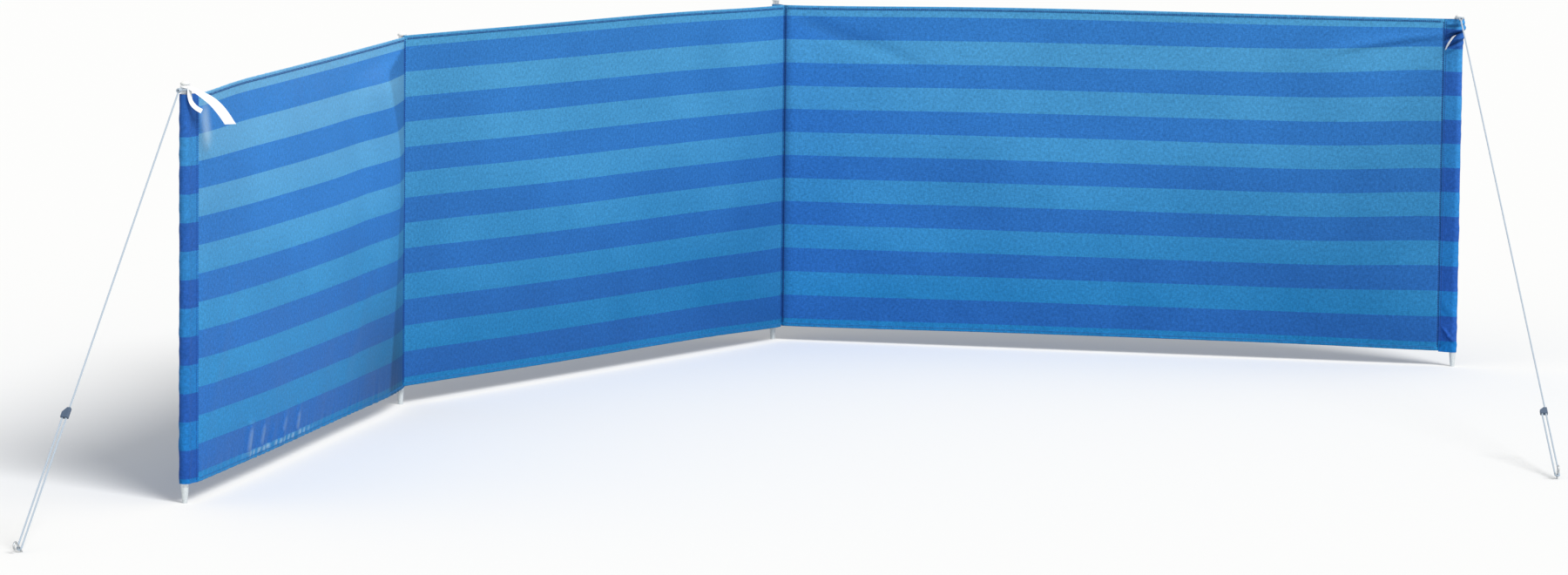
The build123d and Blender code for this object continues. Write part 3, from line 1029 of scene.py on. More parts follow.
@dataclass
class BayCloth:
    """One bay: its striped sheet, its two folded hems and their stitching."""

    bay: Bay
    finishes: Finishes
    belly: float
    hem_pucker: float
    folds: tuple[Fold, ...] = ()
    crest: Crest | None = None
    pulls: tuple[Spot, ...] = ()
    # Painted shade: even over the bay, negative where painted lighter; in soft spots; and along crease lines
    painted_bay_shade: float = 0.0
    painted_shade_spots: tuple[Spot, ...] = ()
    painted_crease_shade: tuple[Fold, ...] = ()
    # Painted highlights on the ridges of folds
    gleams: tuple[Fold, ...] = ()
    beads: Beads | None = None
    # Painted sheen that whitens the cloth towards its top
    painted_sheen: float = 0.0
    sheet_thickness: float = 0.0007
    sheet_inset: float = 0.0012
    hem_width: float = 0.0095
    hem_roll: float = 0.0018
    seam_turn: float = 0.003
    seam_dip: float = 0.0022
    seam_dip_reach: float = 0.004
    stitch_pitch: float = 0.0050
    stitch_thread: float = 0.0017
    stitch_levels: tuple[float, ...] = (0.0062, 0.0084)
    stitch_start: float = 0.008
    seam_thread: float = 0.0024
    seam_gap: float = 0.0035
    seam_start: float = 0.003
    columns: int = 180
    rows: int = 76

    def __post_init__(self) -> None:
        """Works out the bay's own axes."""
        angle = LAYOUT.bay_heading(self.bay)
        self.posts = LAYOUT.bay_posts(self.bay)
        self.length = LAYOUT.bay_length
        self.height = LAYOUT.cloth_height
        self.origin = np.array(LAYOUT.seam(self.posts[0])) + LAYOUT.ground_gap * UPWARD
        self.along = np.array(heading(angle))
        self.inner = np.array(heading(angle - 90.0))
        seed = 10 * (list(Bay).index(self.bay) + 1)
        self.drift = Ripples(seed, 0.25, 0.9, 0.0022, upright=0.4)
        self.crumple = Ripples(seed + 1, 0.05, 0.16, 0.00028)
        self.gather = Ripples(seed + 2, 0.028, 0.075, 1.0, upright=1.0)

    def lift(self, s: Array, z: Array) -> Array:
        """How far the cloth stands off the straight line from seam to seam, towards the shelter.

        Args:
            s: Distances from the left seam.
            z: Heights on the cloth.

        Returns:
            The lift at each place.
        """
        level = np.clip(z / self.height, 0.0, 1.0)
        slack = np.sin(math.pi * np.clip(s / self.length, 0.0, 1.0)) * np.sin(math.pi * (0.04 + 0.92 * level))
        lift = self.belly * slack**0.8
        lift = lift + self.drift.lift(s, z) * np.sin(math.pi * np.clip(0.06 + 0.9 * level, 0, 1))
        lift = lift + self.crumple.lift(s, z)
        near_hem = np.exp(-z / 0.030) + 0.5 * np.exp(-(self.height - z) / 0.020)
        lift = lift + self.hem_pucker * self.gather.lift(s, z * 0.2) * near_hem
        lift = lift + total(self.folds, s, z)
        if self.beads:
            lift = lift + self.beads.height * self.beads.at(s, z)
        lift = lift * smooth_step(0.0, 0.02, s) * smooth_step(0.0, 0.02, self.length - s)
        if self.crest:
            lift = lift + self.crest.lift(self.length - s, z)
        # The cloth dips into the row of stitches at each seam
        for gap in (s, self.length - s):
            lift = lift - self.seam_dip * np.exp(-((gap / self.seam_dip_reach) ** 2))
        return lift

    def shade(self, s: Array, z: Array) -> Array:
        """Painted shade at places on the cloth, negative where it is painted lighter.

        Args:
            s: Distances from the left seam.
            z: Heights on the cloth.

        Returns:
            The shade at each place.
        """
        shade = self.painted_bay_shade + total(self.painted_shade_spots, s, z) + total(self.painted_crease_shade, s, z)
        if self.crest:
            shade = shade + self.crest.shade(self.length - s, z)
        return shade

    def painted_whiteness(self, s: Array, z: Array) -> Array:
        """Painted sheen and highlights that whiten the cloth, most of all near its top and on its folds.

        Args:
            s: Distances from the left seam.
            z: Heights on the cloth.

        Returns:
            The share of white at each place.
        """
        white = self.painted_sheen * smooth_step(0.4 * self.height, self.height, z) + total(self.gleams, s, z)
        if self.beads:
            white = white + self.beads.gleam * self.beads.at(s, z)
        return white

    def place(self, s: Array, z: Array, off: Array | float = 0.0) -> Array:
        """Turns a place on the flat cloth into a point of the standing cloth.

        Args:
            s: Distances from the left seam.
            z: Heights on the cloth.
            off: Distance off the cloth, towards the shelter.

        Returns:
            Points, with one more axis than s and z.
        """
        s, z, off = np.broadcast_arrays(s, z, off)
        out = (self.lift(s, z) + off)[..., None]
        upward = (z + total(self.pulls, s, z))[..., None] * UPWARD
        places = self.origin + s[..., None] * self.along + out * self.inner + upward
        # At the inner poles both sheets turn into the seam, along the sleeve
        for post, gap in zip(self.posts, (s, self.length - s)):
            if post in (Post.LEFT_INNER, Post.CORNER):
                turn = self.seam_turn * np.array(heading(LAYOUT.sleeve_heading(post)))
                places = places + np.exp(-((gap / 0.0032) ** 1.4))[..., None] * turn
        return places

    def marked_grid(self, name: str, s: Array, z: Array, off: Array | float = 0.0) -> Piece:
        """Lays a grid on the bay, with its painted shade, sheen and highlights."""
        flat = np.stack([s, z], axis=-1)
        return cloth_grid(name, self.place(s, z, off), flat, self.shade(s, z), self.painted_whiteness(s, z))

    def stations(self) -> Array:
        """Distances of the grid's columns: close together at the seams, even between them.

        Returns:
            The distances from the left seam.
        """
        fine = np.concatenate([np.linspace(0.0, 0.008, 7)[:-1], np.linspace(0.008, 0.05, 9)[:-1]])
        middle = np.linspace(0.05, self.length - 0.05, self.columns)
        return np.concatenate([fine, middle, self.length - fine[::-1]])

    def levels(self) -> Array:
        """Heights of the grid's rows: closer together near the bottom hem, where the cloth puckers."""
        low = np.linspace(self.sheet_inset, 0.12, self.rows // 3)[:-1]
        return np.concatenate([low, np.linspace(0.12, self.height - self.sheet_inset, self.rows)])

    def build_sheet(self) -> Piece:
        """Builds the sheet of cloth from hem fold to hem fold.

        Returns:
            The sheet.
        """
        s, z = np.meshgrid(self.stations(), self.levels())
        sheet = self.marked_grid(f"striped_sheet_{self.bay.value}", s, z)
        apply_modifier(sheet, "SOLIDIFY", thickness=self.sheet_thickness, offset=0.0)
        plain_back(sheet, self.painted_bay_shade)
        return dress(sheet, self.finishes.canvas, [f"cloth_{self.bay.value}_bay"])

    def from_edge(self, edge: Edge, depth: Array | float) -> Array | float:
        """Heights on the cloth of depths below its top edge or above its bottom edge."""
        return self.height - depth if edge is Edge.TOP else depth

    def build_hem(self, edge: Edge) -> Piece:
        """Builds a hem: the cloth's edge folded over twice, rounder at its fold.

        Args:
            edge: The edge that it is on.

        Returns:
            The hem.
        """
        ends = np.array([0.0, 0.0015, 0.003, 0.0045])
        s = np.concatenate([ends, np.linspace(0.006, self.length - 0.006, 330), self.length - ends[::-1]])
        turn = np.linspace(0.0, FULL_TURN, 19)
        depth = (1.0 - np.cos(turn)) / 2 * self.hem_width
        roll = self.hem_roll * (0.6 + 0.4 * np.cos(turn / 2) ** 2)
        side = np.clip(np.sin(turn) * 1.6, -1.0, 1.0) * roll
        s, depth = np.meshgrid(s, depth)
        side = np.broadcast_to(side[:, None], s.shape)
        uneven = Ripples(6 if edge is Edge.TOP else 5, 0.012, 0.04, 0.00022, upright=1.0).lift(s, s * 0.0)
        title = f"{edge.value}_hem_fold_{self.bay.value}"
        hem = self.marked_grid(title, s, self.from_edge(edge, depth), side + uneven * np.sign(side))
        tidy_mesh(hem)
        return dress(hem, self.finishes.canvas, [f"{edge.value}_hem_{self.bay.value}_bay"])

    def on_hem(self, points: Array, face: float, height: float) -> Array:
        """Bends a row of stitches along a hem, on one face of the cloth."""
        off = face * (self.hem_roll * 0.8 + points[:, 2])
        return self.place(points[:, 0] + self.stitch_start, height + points[:, 1], off)

    def build_stitching(self, edge: Edge) -> Piece:
        """Sews a hem down with a double row along its inner edge, on both faces of the cloth.

        Args:
            edge: The edge that the hem is on.

        Returns:
            The rows of stitches, as one piece.
        """
        heights = [self.from_edge(edge, level) for level in self.stitch_levels]
        bends = [
            partial(self.on_hem, face=face, height=height) for face in FRONT_AND_BACK for height in heights
        ]
        stitches = Stitches(self.length - 2 * self.stitch_start, self.stitch_pitch, self.stitch_thread)
        stitching = stitches.sew(f"{edge.value}_hem_stitching_{self.bay.value}", bends)
        thread = self.finishes.thread if edge is Edge.TOP else self.finishes.pale_thread
        return dress(stitching, thread)

    def down_seam(self, points: Array, gap: float, face: float) -> Array:
        """Bends a row of stitches down a seam, on one face of the cloth."""
        off = face * (self.sheet_thickness / 2 + points[:, 2])
        return self.place(gap + points[:, 1], points[:, 0] + self.seam_start, off)

    def build_seams(self) -> Piece:
        """Sews the sheet to its sleeves with a strong row down each seam, on both faces of the cloth.

        Returns:
            The rows of stitches, as one piece.
        """
        gaps = (self.seam_gap, self.length - self.seam_gap)
        bends = [partial(self.down_seam, gap=gap, face=face) for gap in gaps for face in FRONT_AND_BACK]
        stitches = Stitches(self.height - 2 * self.seam_start, self.stitch_pitch, self.seam_thread)
        stitching = stitches.sew(f"seam_stitching_{self.bay.value}", bends)
        return dress(stitching, self.finishes.thread)

    def build(self) -> None:
        """Builds the bay: its sheet, its hems with their stitching, and its seams."""
        sheet = self.build_sheet()
        extras = [self.build_hem(edge) for edge in Edge]
        extras += [self.build_stitching(edge) for edge in Edge]
        extras.append(self.build_seams())


@dataclass
class SleeveCloth:
    """The sewn tunnel of cloth over one pole, with its rows of stitches."""

    post: Post
    finishes: Finishes
    wrinkle: float
    slack: float = 0.0
    flare: float = 0.0
    folds: tuple[Fold, ...] = ()
    # How far the stripes stand above the bay's: at the bottom, and from half way up
    stripe_rise: tuple[float, float] = (0.0, 0.0)
    # Painted shade: even over the sleeve, in soft spots, and along crease lines
    shade: float = 0.08
    painted_shade_spots: tuple[Spot, ...] = ()
    painted_crease_shade: tuple[Fold, ...] = ()
    woven_top: float = 1.0
    pulls: tuple[Spot, ...] = ()
    lowered: float = 0.0
    seam_allowance: float = 0.006
    tuck: float = 0.0
    ply_gap: float = 0.0007
    thickness: float = 0.0007
    stitch_pitch: float = 0.0052
    stitch_thread: float = 0.0016
    stitch_gap: float = 0.0042
    stitch_start: float = 0.004
    slope_steps: int = 12

    def __post_init__(self) -> None:
        """Works out the sleeve's outline on plan and its own axes."""
        angle = LAYOUT.sleeve_heading(self.post)
        self.seam = np.array(LAYOUT.seam(self.post))
        self.along = np.array(heading(angle))
        self.left = np.array(heading(angle + 90.0))
        self.radius = LAYOUT.sleeve_outer_radius - self.thickness / 2
        self.height = LAYOUT.cloth_height
        self.drag = Ripples(70 + list(Post).index(self.post), 0.03, 0.09, 1.0)
        self.outline = self.make_outline()
        self.girth = run_lengths(self.outline)

    def make_outline(self) -> Array:
        """Draws the outline from the seam round the pole and back.

        Returns:
            Distances from the seam, and offsets to the left.
        """
        reach = LAYOUT.pole_reach
        opening = math.asin((self.radius - self.ply_gap) / (reach - self.seam_allowance))
        turns = np.linspace(math.pi / 2 + opening, -math.pi / 2 - opening, 25)
        round_end = np.column_stack([reach + self.radius * np.cos(turns), self.radius * np.sin(turns)])
        flat = np.column_stack([np.linspace(self.tuck, self.seam_allowance, 3), np.full(3, self.ply_gap)])
        steps = np.linspace(0.0, 1.0, self.slope_steps)[1:-1, None]
        slope = flat[-1] + (round_end[0] - flat[-1]) * steps
        upper = np.concatenate([flat, slope])
        lower = (upper * np.array([1.0, -1.0]))[::-1]
        return np.concatenate([upper, round_end, lower])

    def puff(self, girth: Array, z: Array) -> Array:
        """How far the cloth stands off its tight outline.

        Args:
            girth: Distances round the sleeve, from its seam.
            z: Heights on the cloth.

        Returns:
            The outward lift at each place.
        """
        other = self.girth[-1] - girth
        free = smooth_step(0.004, 0.02, girth) * smooth_step(0.004, 0.02, other)
        outer = smooth_step(0.02, 0.036, girth) * smooth_step(0.02, 0.036, other)
        lift = self.wrinkle * np.clip(self.drag.lift(girth + 0.6 * z, z) + 0.5, 0.0, None) * free
        lift = lift + self.slack * outer
        lift = lift + self.flare * outer * np.exp(-(((self.height - z) / 0.045) ** 2))
        lift = lift + total(self.folds, other, z) * smooth_step(0.001, 0.008, other)
        return np.maximum(lift, -0.0002)

    def on_outline(self, girth: Array) -> Array:
        """Places on the tight outline at distances round it."""
        return np.stack([np.interp(girth, self.girth, axis) for axis in self.outline.T])

    def place(self, girth: Array, z: Array, off: Array | float = 0.0) -> Array:
        """Turns a place on the flat sleeve into a point of the standing one.

        Args:
            girth: Distances round the sleeve, from its seam.
            z: Heights on the cloth.
            off: Distance off the cloth, outwards.

        Returns:
            Points, with one more axis than girth and z.
        """
        girth, z, off = np.broadcast_arrays(girth, z, off)
        step = 5e-4
        forward, aside = self.on_outline(girth)
        run = self.on_outline(girth + step) - self.on_outline(girth - step)
        out = (off + self.puff(girth, z)) / np.maximum(np.hypot(*run), 1e-9)
        forward = forward - run[1] * out
        aside = aside + run[0] * out
        upward = (z + total(self.pulls, 0.0 * z, z) + LAYOUT.ground_gap)[..., None] * UPWARD
        return self.seam + forward[..., None] * self.along + aside[..., None] * self.left + upward

    def levels(self) -> Array:
        """Heights of the grid's rows: closest where the sleeve is bunched, at its top.

        Returns:
            The heights on the cloth.
        """
        low = np.linspace(0.0, 0.08, 36)[:-1]
        middle = np.linspace(0.08, self.height - 0.12, 70)[:-1]
        return np.concatenate([low, middle, np.linspace(self.height - 0.12, self.height - self.lowered, 75)])

    def build_tunnel(self) -> Piece:
        """Builds the tunnel of cloth.

        Returns:
            The tunnel.
        """
        girth, z = np.meshgrid(self.girth, self.levels())
        # A sleeve pushed up its pole is bunched at the top, so its stripes stand higher below that
        rise = np.interp(z, (0.0, self.height / 2), self.stripe_rise)
        woven = z - rise * (1.0 - smooth_step(self.height - 0.1, self.height, z))
        flat = np.stack([girth, np.minimum(woven, self.woven_top)], axis=-1)
        other = self.girth[-1] - girth
        # Painted shade of the sleeve, with its spots and crease lines
        depth = self.shade + total(self.painted_shade_spots, other, z) + total(self.painted_crease_shade, other, z)
        tunnel = cloth_grid(f"sleeve_tunnel_{self.post.value}", self.place(girth, z), flat, depth)
        apply_modifier(tunnel, "SOLIDIFY", thickness=self.thickness, offset=0.0)
        return dress(tunnel, self.finishes.double_canvas_painted_shade, [f"sleeve_{self.post.value}"])

    def beside_seam(self, points: Array, girth: float) -> Array:
        """Bends a row of stitches down the sleeve."""
        return self.place(girth + points[:, 1], points[:, 0] + self.stitch_start, points[:, 2] + 0.0005)

    def build_stitching(self) -> Piece:
        """Sews both plies together beside the seam.

        Returns:
            The rows of stitches, as one piece.
        """
        girths = (self.stitch_gap, self.girth[-1] - self.stitch_gap)
        bends = [partial(self.beside_seam, girth=girth) for girth in girths]
        length = self.height - self.lowered - 2 * self.stitch_start
        stitches = Stitches(length, self.stitch_pitch, self.stitch_thread)
        stitching = stitches.sew(f"sleeve_stitching_{self.post.value}", bends)
        return dress(stitching, self.finishes.thread)

    def build(self) -> None:
        """Builds the sleeve and its stitching."""
        tunnel = self.build_tunnel()
        stitching = self.build_stitching()


# ---------------------------------------------------------------- poles, guys and tapes


@dataclass
class PoleSet:
    """The four poles with their ground spikes and caps, whose solids are right as they are."""

    finishes: Finishes

    def build(self) -> None:
        """Dresses each pole's solids."""
        for post in Post:
            dress_node(f"pole_{post.value}", self.finishes.tube)
            dress_node(f"ground_spike_{post.value}", self.finishes.spike)
            dress_node(f"pole_cap_{post.value}", self.finishes.cap)


@dataclass
class GuyLine:
    """One end's guy rope with its eye, runner and peg."""

    side: str
    post: Post
    finishes: Finishes
    reach: float
    bearing: float
    runner_distance: float
    rope_radius: float = 0.002
    ease: float = 0.0003
    peg_radius: float = 0.002
    eye_reach: float = 0.030
    loop_height: float = 0.009
    runner_pocket: float = 0.011
    lay: float = 0.015
    strands: int = 3
    knot_turns: float = 3.2
    knot_length: float = 0.011

    def __post_init__(self) -> None:
        """Works out the rope's own axes and turning points."""
        foot = np.array(LAYOUT.pole(self.post))
        self.away = np.array(heading(self.bearing))
        self.aside = np.array(heading(self.bearing + 90.0))
        self.pole = foot + (LAYOUT.cloth_top + self.rope_radius + self.ease) * UPWARD
        self.knot = self.pole + self.away * self.eye_reach
        self.turn_start = foot + self.away * self.reach + self.loop_height * UPWARD
        down = self.turn_start - self.knot
        self.down = down / np.linalg.norm(down)
        self.loop = self.peg_radius + self.rope_radius + self.ease
        self.turn_end = self.turn_start - self.aside * 2 * self.loop

    def route(self, name: str, stops: Sequence[tuple[Array, Array]]) -> Array:
        """Draws a smooth line through points and reads it back.

        Args:
            name: Name of the scratch curve.
            stops: Points that the line goes through, each with its handle along the line.

        Returns:
            Close points of the line.
        """
        curve = bpy.data.curves.new(name, "CURVE")
        curve.dimensions = "3D"
        curve.resolution_u = 24
        spline = curve.splines.new("BEZIER")
        spline.bezier_points.add(len(stops) - 1)
        for knot, (point, way) in zip(spline.bezier_points, stops):
            knot.co = point
            knot.handle_left = point - way
            knot.handle_right = point + way
        holder = bpy.data.objects.new(name, curve)
        bpy.context.collection.objects.link(holder)
        mesh = bpy.data.meshes.new_from_object(holder)
        line = np.array([vertex.co for vertex in mesh.vertices])
        bpy.data.objects.remove(holder)
        bpy.data.meshes.remove(mesh)
        return line

    def stay_route(self) -> Array:
        """Leads the rope from the eye's knot down round the peg and back up into the runner.

        Returns:
            Close points of the rope's middle.
        """
        back = self.runner_distance + self.runner_pocket - self.ease
        reach = self.loop * ROUND_HANDLE
        low = self.turn_start - self.aside * self.loop + self.down * self.loop
        stops = [
            (self.knot, self.down * reach),
            (self.turn_start, self.down * reach),
            (low, -self.aside * reach),
            (self.turn_end, -self.down * reach),
            (self.turn_end - self.down * back, -self.down * reach),
        ]
        return self.route(f"stay_route_{self.side}", stops)

    def eye_route(self) -> Array:
        """Leads the loop round the pole's neck.

        Returns:
            Close points of the rope's middle.
        """
        radius = LAYOUT.pole_radius + self.rope_radius + self.ease
        strand = (self.rope_radius + self.ease) * self.aside
        reach = radius * ROUND_HANDLE
        stops = [
            (self.knot + strand, -self.away * 0.008),
            (self.pole + self.aside * radius, -self.away * reach),
            (self.pole - self.away * radius, -self.aside * reach),
            (self.pole - self.aside * radius, self.away * reach),
            (self.knot - strand, self.away * 0.008),
        ]
        return self.route(f"eye_route_{self.side}", stops)

    def knot_route(self) -> Array:
        """Winds a few turns of the rope's end round the eye's neck.

        Returns:
            Close points of the rope's middle.
        """
        turns = np.linspace(0.0, self.knot_turns * FULL_TURN, 90)
        coil = self.rope_radius * 1.75
        start = self.knot - self.away * self.knot_length / 2
        run = np.linspace(0.0, self.knot_length, len(turns))
        side = np.cos(turns)[:, None] * self.aside + np.sin(turns)[:, None] * UPWARD
        return start + run[:, None] * self.away + side * coil

    def twisted(self, line: Array, radius: float) -> list[Array]:
        """Winds the rope's strands round a line.

        Args:
            line: Close points of the rope's middle.
            radius: Radius of the rope.

        Returns:
            The line of each strand.
        """
        line = resampled(line, self.lay / 9)
        first, second = carried_sides(line)
        runs = run_lengths(line)
        strands = []
        for index in range(self.strands):
            turn = FULL_TURN * (runs / self.lay + index / self.strands)
            aside = np.cos(turn)[:, None] * first + np.sin(turn)[:, None] * second
            strands.append(line + aside * radius * 0.48)
        return strands

    def build(self) -> None:
        """Builds the rope and dresses its runner and peg."""
        radius = self.rope_radius
        stay = self.twisted(self.stay_route(), radius) + self.twisted(self.eye_route(), radius)
        rope = tube_along(f"rope_strands_{self.side}", stay, radius * 0.54)
        winding = self.twisted(self.knot_route(), radius * 0.85)
        wound = tube_along(f"rope_knot_{self.side}", winding, radius * 0.46)
        rope = joined([rope, wound], f"twisted_rope_{self.side}")
        tidy_mesh(rope, FINE_MERGE)
        dress(rope, self.finishes.rope, [f"guy_rope_{self.side}"])
        dress_node(f"guy_runner_{self.side}", self.finishes.runner)
        dress_node(f"ground_peg_{self.side}", self.finishes.peg)


@dataclass(frozen=True)
class RibbonStop:
    """A place along a ribbon in its tape's own axes: to the right, up, and out to the shelter."""

    middle: tuple[float, float, float]
    across: tuple[float, float, float]


@dataclass
class Tape:
    """A white tape on an end pole, in its own axes, with ribbons laid through stops."""

    post: Post
    finishes: Finishes
    facing: float
    level: float
    thickness: float = 0.0006
    trough: float = 0.0004

    def point(self, local: Array) -> Array:
        """Turns places in the tape's own axes into points."""
        axes = np.array([heading(self.facing + 90.0), UPWARD, heading(self.facing)])
        return np.array(LAYOUT.pole(self.post)) + self.level * UPWARD + local @ axes

    def eased(self, values: Array, steps: int) -> Array:
        """Runs a smooth curve through the values of a ribbon's stops.

        Args:
            values: A row of values for each stop.
            steps: Number of parts along the ribbon.

        Returns:
            The values from part to part.
        """
        index = np.linspace(0.0, len(values) - 1, steps + 1)
        before = np.clip(index.astype(int), 0, len(values) - 2)
        t = (index - before)[:, None]
        padded = np.concatenate([2 * values[:1] - values[1:2], values, 2 * values[-1:] - values[-2:-1]])
        a, b, c, d = (padded[before + k] for k in range(4))
        square = 2 * a - 5 * b + 4 * c - d
        cube = 3 * b - a - 3 * c + d
        return 0.5 * (2 * b + (c - a) * t + square * t**2 + cube * t**3)

    def ribbon(self, name: str, stops: Sequence[RibbonStop], steps: int = 44) -> Piece:
        """Lays a flat ribbon through its stops.

        Args:
            name: Name of the new piece.
            stops: Places along the ribbon.
            steps: Number of parts along its length.

        Returns:
            The ribbon, with its thickness.
        """
        line = self.eased(np.array([stop.middle for stop in stops]), steps)
        half = self.eased(np.array([stop.across for stop in stops]), steps) / 2
        across = np.linspace(-1.0, 1.0, 9)
        local = line[:, None, :] + half[:, None, :] * across[None, :, None]
        # The woven edges draw the tape into a shallow trough
        local[..., 2] += self.trough * (1.0 - across**2)
        runs = np.broadcast_to(run_lengths(line)[:, None], local.shape[:2])
        width = np.linalg.norm(half, axis=1)
        flat = np.stack([runs, width[:, None] * across[None, :]], axis=-1)
        piece = cloth_grid(name, self.point(local), flat)
        apply_modifier(piece, "SOLIDIFY", thickness=self.thickness, offset=0.0)
        return piece

    def free_end(self, name: str, stops: Sequence[RibbonStop], holder: str) -> None:
        """Args:
            name: Name of the CAD tail that it replaces.
            stops: Places along the tape.
            holder: Name of the piece that it hangs from; not used.
        """
        end = self.ribbon(name.replace("tie_tail", "tape_end"), stops)
        dress(end, self.finishes.tape, [name])


@dataclass
class TieTape(Tape):
    """The tape tied round the left pole's neck, with its knot and two free ends."""

    band_height: float = 0.006
    band_turns: float = 2.1
    ease: float = 0.0003

    def build_band(self) -> Piece:
        """Winds the tape round the pole's neck.

        Returns:
            The wound band.
        """
        turns = np.linspace(0.0, self.band_turns * FULL_TURN, 84)
        turn, height = np.meshgrid(turns, np.linspace(-0.5, 0.5, 9) * self.band_height)
        reach = LAYOUT.pole_radius + self.ease + self.thickness + 0.0005 * turn / FULL_TURN
        reach = reach + 0.0004 * np.cos(height / self.band_height * math.pi * 3)
        local = np.stack([reach * np.sin(turn), height, reach * np.cos(turn)], axis=-1)
        band = cloth_grid("tie_band_left", self.point(local), np.stack([turn * 0.009, height], axis=-1))
        apply_modifier(band, "SOLIDIFY", thickness=self.thickness, offset=0.0)
        return band

    def build_knot(self) -> Piece:
        """Ties the band in a flat knot of two crossed loops.

        Returns:
            The band and its knot, as one piece.
        """
        pieces = [self.build_band()]
        front = LAYOUT.pole_radius + self.ease
        for lean, depth, reach in ((1.0, 0.0028, 0.0085), (-1.0, 0.0044, 0.0080)):
            stops = []
            for share in np.linspace(-1.0, 1.0, 9):
                arch = math.cos(share * math.pi / 2)
                middle = (share * reach, lean * share * 0.0016, front + depth * (0.35 + 0.75 * arch))
                stops.append(RibbonStop(middle, (0.0, self.band_height * (0.75 - 0.2 * arch), 0.0006 * lean)))
            pieces.append(self.ribbon(f"tie_loop_left_{lean:.0f}", stops, 28))
        return dress(joined(pieces, "tape_knot_left"), self.finishes.tape, ["tie_knot_left"])

    def build(self) -> None:
        """Builds the knot, its long broad end that bends over and down, and its short one."""
        knot = self.build_knot().name
        long_end = (
            RibbonStop((0.0070, -0.0004, 0.0138), (0.0010, 0.0056, -0.0010)),
            RibbonStop((0.0190, -0.0048, 0.0165), (0.0030, 0.0075, -0.0085)),
            RibbonStop((0.0333, -0.0124, 0.0190), (0.0060, 0.0092, -0.0100)),
            RibbonStop((0.0569, -0.0279, 0.0205), (0.0105, 0.0125, -0.0080)),
            RibbonStop((0.0759, -0.0481, 0.0190), (0.0150, 0.0118, -0.0060)),
            RibbonStop((0.0931, -0.0733, 0.0175), (0.0225, 0.0010, -0.0040)),
        )
        self.free_end("tie_tail_left_long", long_end, knot)
        short_end = (
            RibbonStop((0.0100, -0.0026, 0.0132), (0.0080, -0.0010, -0.0060)),
            RibbonStop((0.0105, -0.0170, 0.0145), (0.0082, 0.0020, -0.0056)),
            RibbonStop((0.0140, -0.0300, 0.0156), (0.0062, 0.0058, -0.0056)),
            RibbonStop((0.0230, -0.0405, 0.0160), (0.0048, 0.0072, -0.0056)),
            RibbonStop((0.0350, -0.0480, 0.0152), (0.0036, 0.0078, -0.0054)),
        )
        self.free_end("tie_tail_left_short", short_end, knot)


@dataclass
class SewnTape(Tape):
    """The tape sewn to the front of the right sleeve, twisting as it hangs."""

    def build(self) -> None:
        """Builds the tape's free end."""
        stops = (
            RibbonStop((-0.0095, -0.0065, 0.0128), (0.0090, 0.0044, 0.0030)),
            RibbonStop((-0.0150, -0.0135, 0.0138), (0.0084, 0.0046, 0.0036)),
            RibbonStop((-0.0195, -0.0200, 0.0148), (0.0080, 0.0042, 0.0052)),
            RibbonStop((-0.0232, -0.0266, 0.0154), (0.0074, 0.0036, 0.0064)),
            RibbonStop((-0.0270, -0.0340, 0.0156), (0.0056, 0.0030, 0.0082)),
            RibbonStop((-0.0300, -0.0410, 0.0154), (0.0036, 0.0020, 0.0096)),
        )
        self.free_end("tie_tail_right", stops, f"sleeve_tunnel_{self.post.value}")


# ---------------------------------------------------------------- studio


@dataclass(frozen=True)
class Studio:
    """Pale floor, soft light and the camera."""

    finishes: Finishes
    floor_size: float = 160.0
    sky: float = 0.58
    lamp: float = 2.6
    lamp_spread: float = 25.0
    lamp_from: tuple[float, float, float] = (0.62, -0.57, 0.75)
    lens: float = 154.954
    camera_place: tuple[float, float, float] = (4.07655, -16.13109, 1.89951)
    azimuth: float = 14.08901
    pitch: float = 6.07698
    roll: float = 0.59113

    def build_floor(self) -> None:
        """Lays the floor."""
        bpy.ops.object.select_all(action="DESELECT")
        bpy.ops.mesh.primitive_plane_add(size=self.floor_size, location=(0.0, 0.0, -0.0002))
        floor = bpy.context.object
        floor.name = "studio_floor"
        floor.data.materials.append(self.finishes.floor)

    def build_world(self) -> None:
        """Makes an even sky that is white where the camera sees it."""
        world = bpy.data.worlds.new("studio_sky")
        bpy.context.scene.world = world
        world.use_nodes = True
        nodes = Nodes(world.node_tree)
        strength = nodes.spread(nodes.seen(), 0.0, 1.0, self.sky, 1.0)
        sky = nodes.add("ShaderNodeBackground", {"Color": linear("#ffffff"), "Strength": strength})
        nodes.add("ShaderNodeOutputWorld", {"Surface": sky.outputs[0]})

    def build_lamp(self) -> None:
        """Hangs a broad even lamp high over the viewer's right shoulder."""
        lamp = bpy.data.lights.new("broad_lamp", "SUN")
        lamp.energy = self.lamp
        lamp.angle = math.radians(self.lamp_spread)
        holder = bpy.data.objects.new("broad_lamp", lamp)
        bpy.context.collection.objects.link(holder)
        holder.rotation_euler = (-Vector(self.lamp_from)).to_track_quat("-Z", "Y").to_euler()

    def build_camera(self) -> None:
        """Sets the camera at the photograph's own viewing angle."""
        data = bpy.data.cameras.new("studio_camera")
        data.lens = self.lens
        data.sensor_width = 36.0
        data.clip_end = 500.0
        camera = bpy.data.objects.new("studio_camera", data)
        bpy.context.collection.objects.link(camera)
        turn = Euler((math.radians(90.0 - self.pitch), 0.0, math.radians(self.azimuth))).to_matrix()
        turn = turn @ Matrix.Rotation(math.radians(self.roll), 3, "Z")
        camera.matrix_world = Matrix.Translation(self.camera_place) @ turn.to_4x4()
        bpy.context.scene.camera = camera

    def build(self) -> None:
        """Builds the whole studio."""
        bpy.context.scene.view_settings.view_transform = "Standard"
        self.build_floor()
        self.build_world()
        self.build_lamp()
        self.build_camera()
        LOG.info("studio: floor, sky, lamp and camera")


# ---------------------------------------------------------------- the windbreak


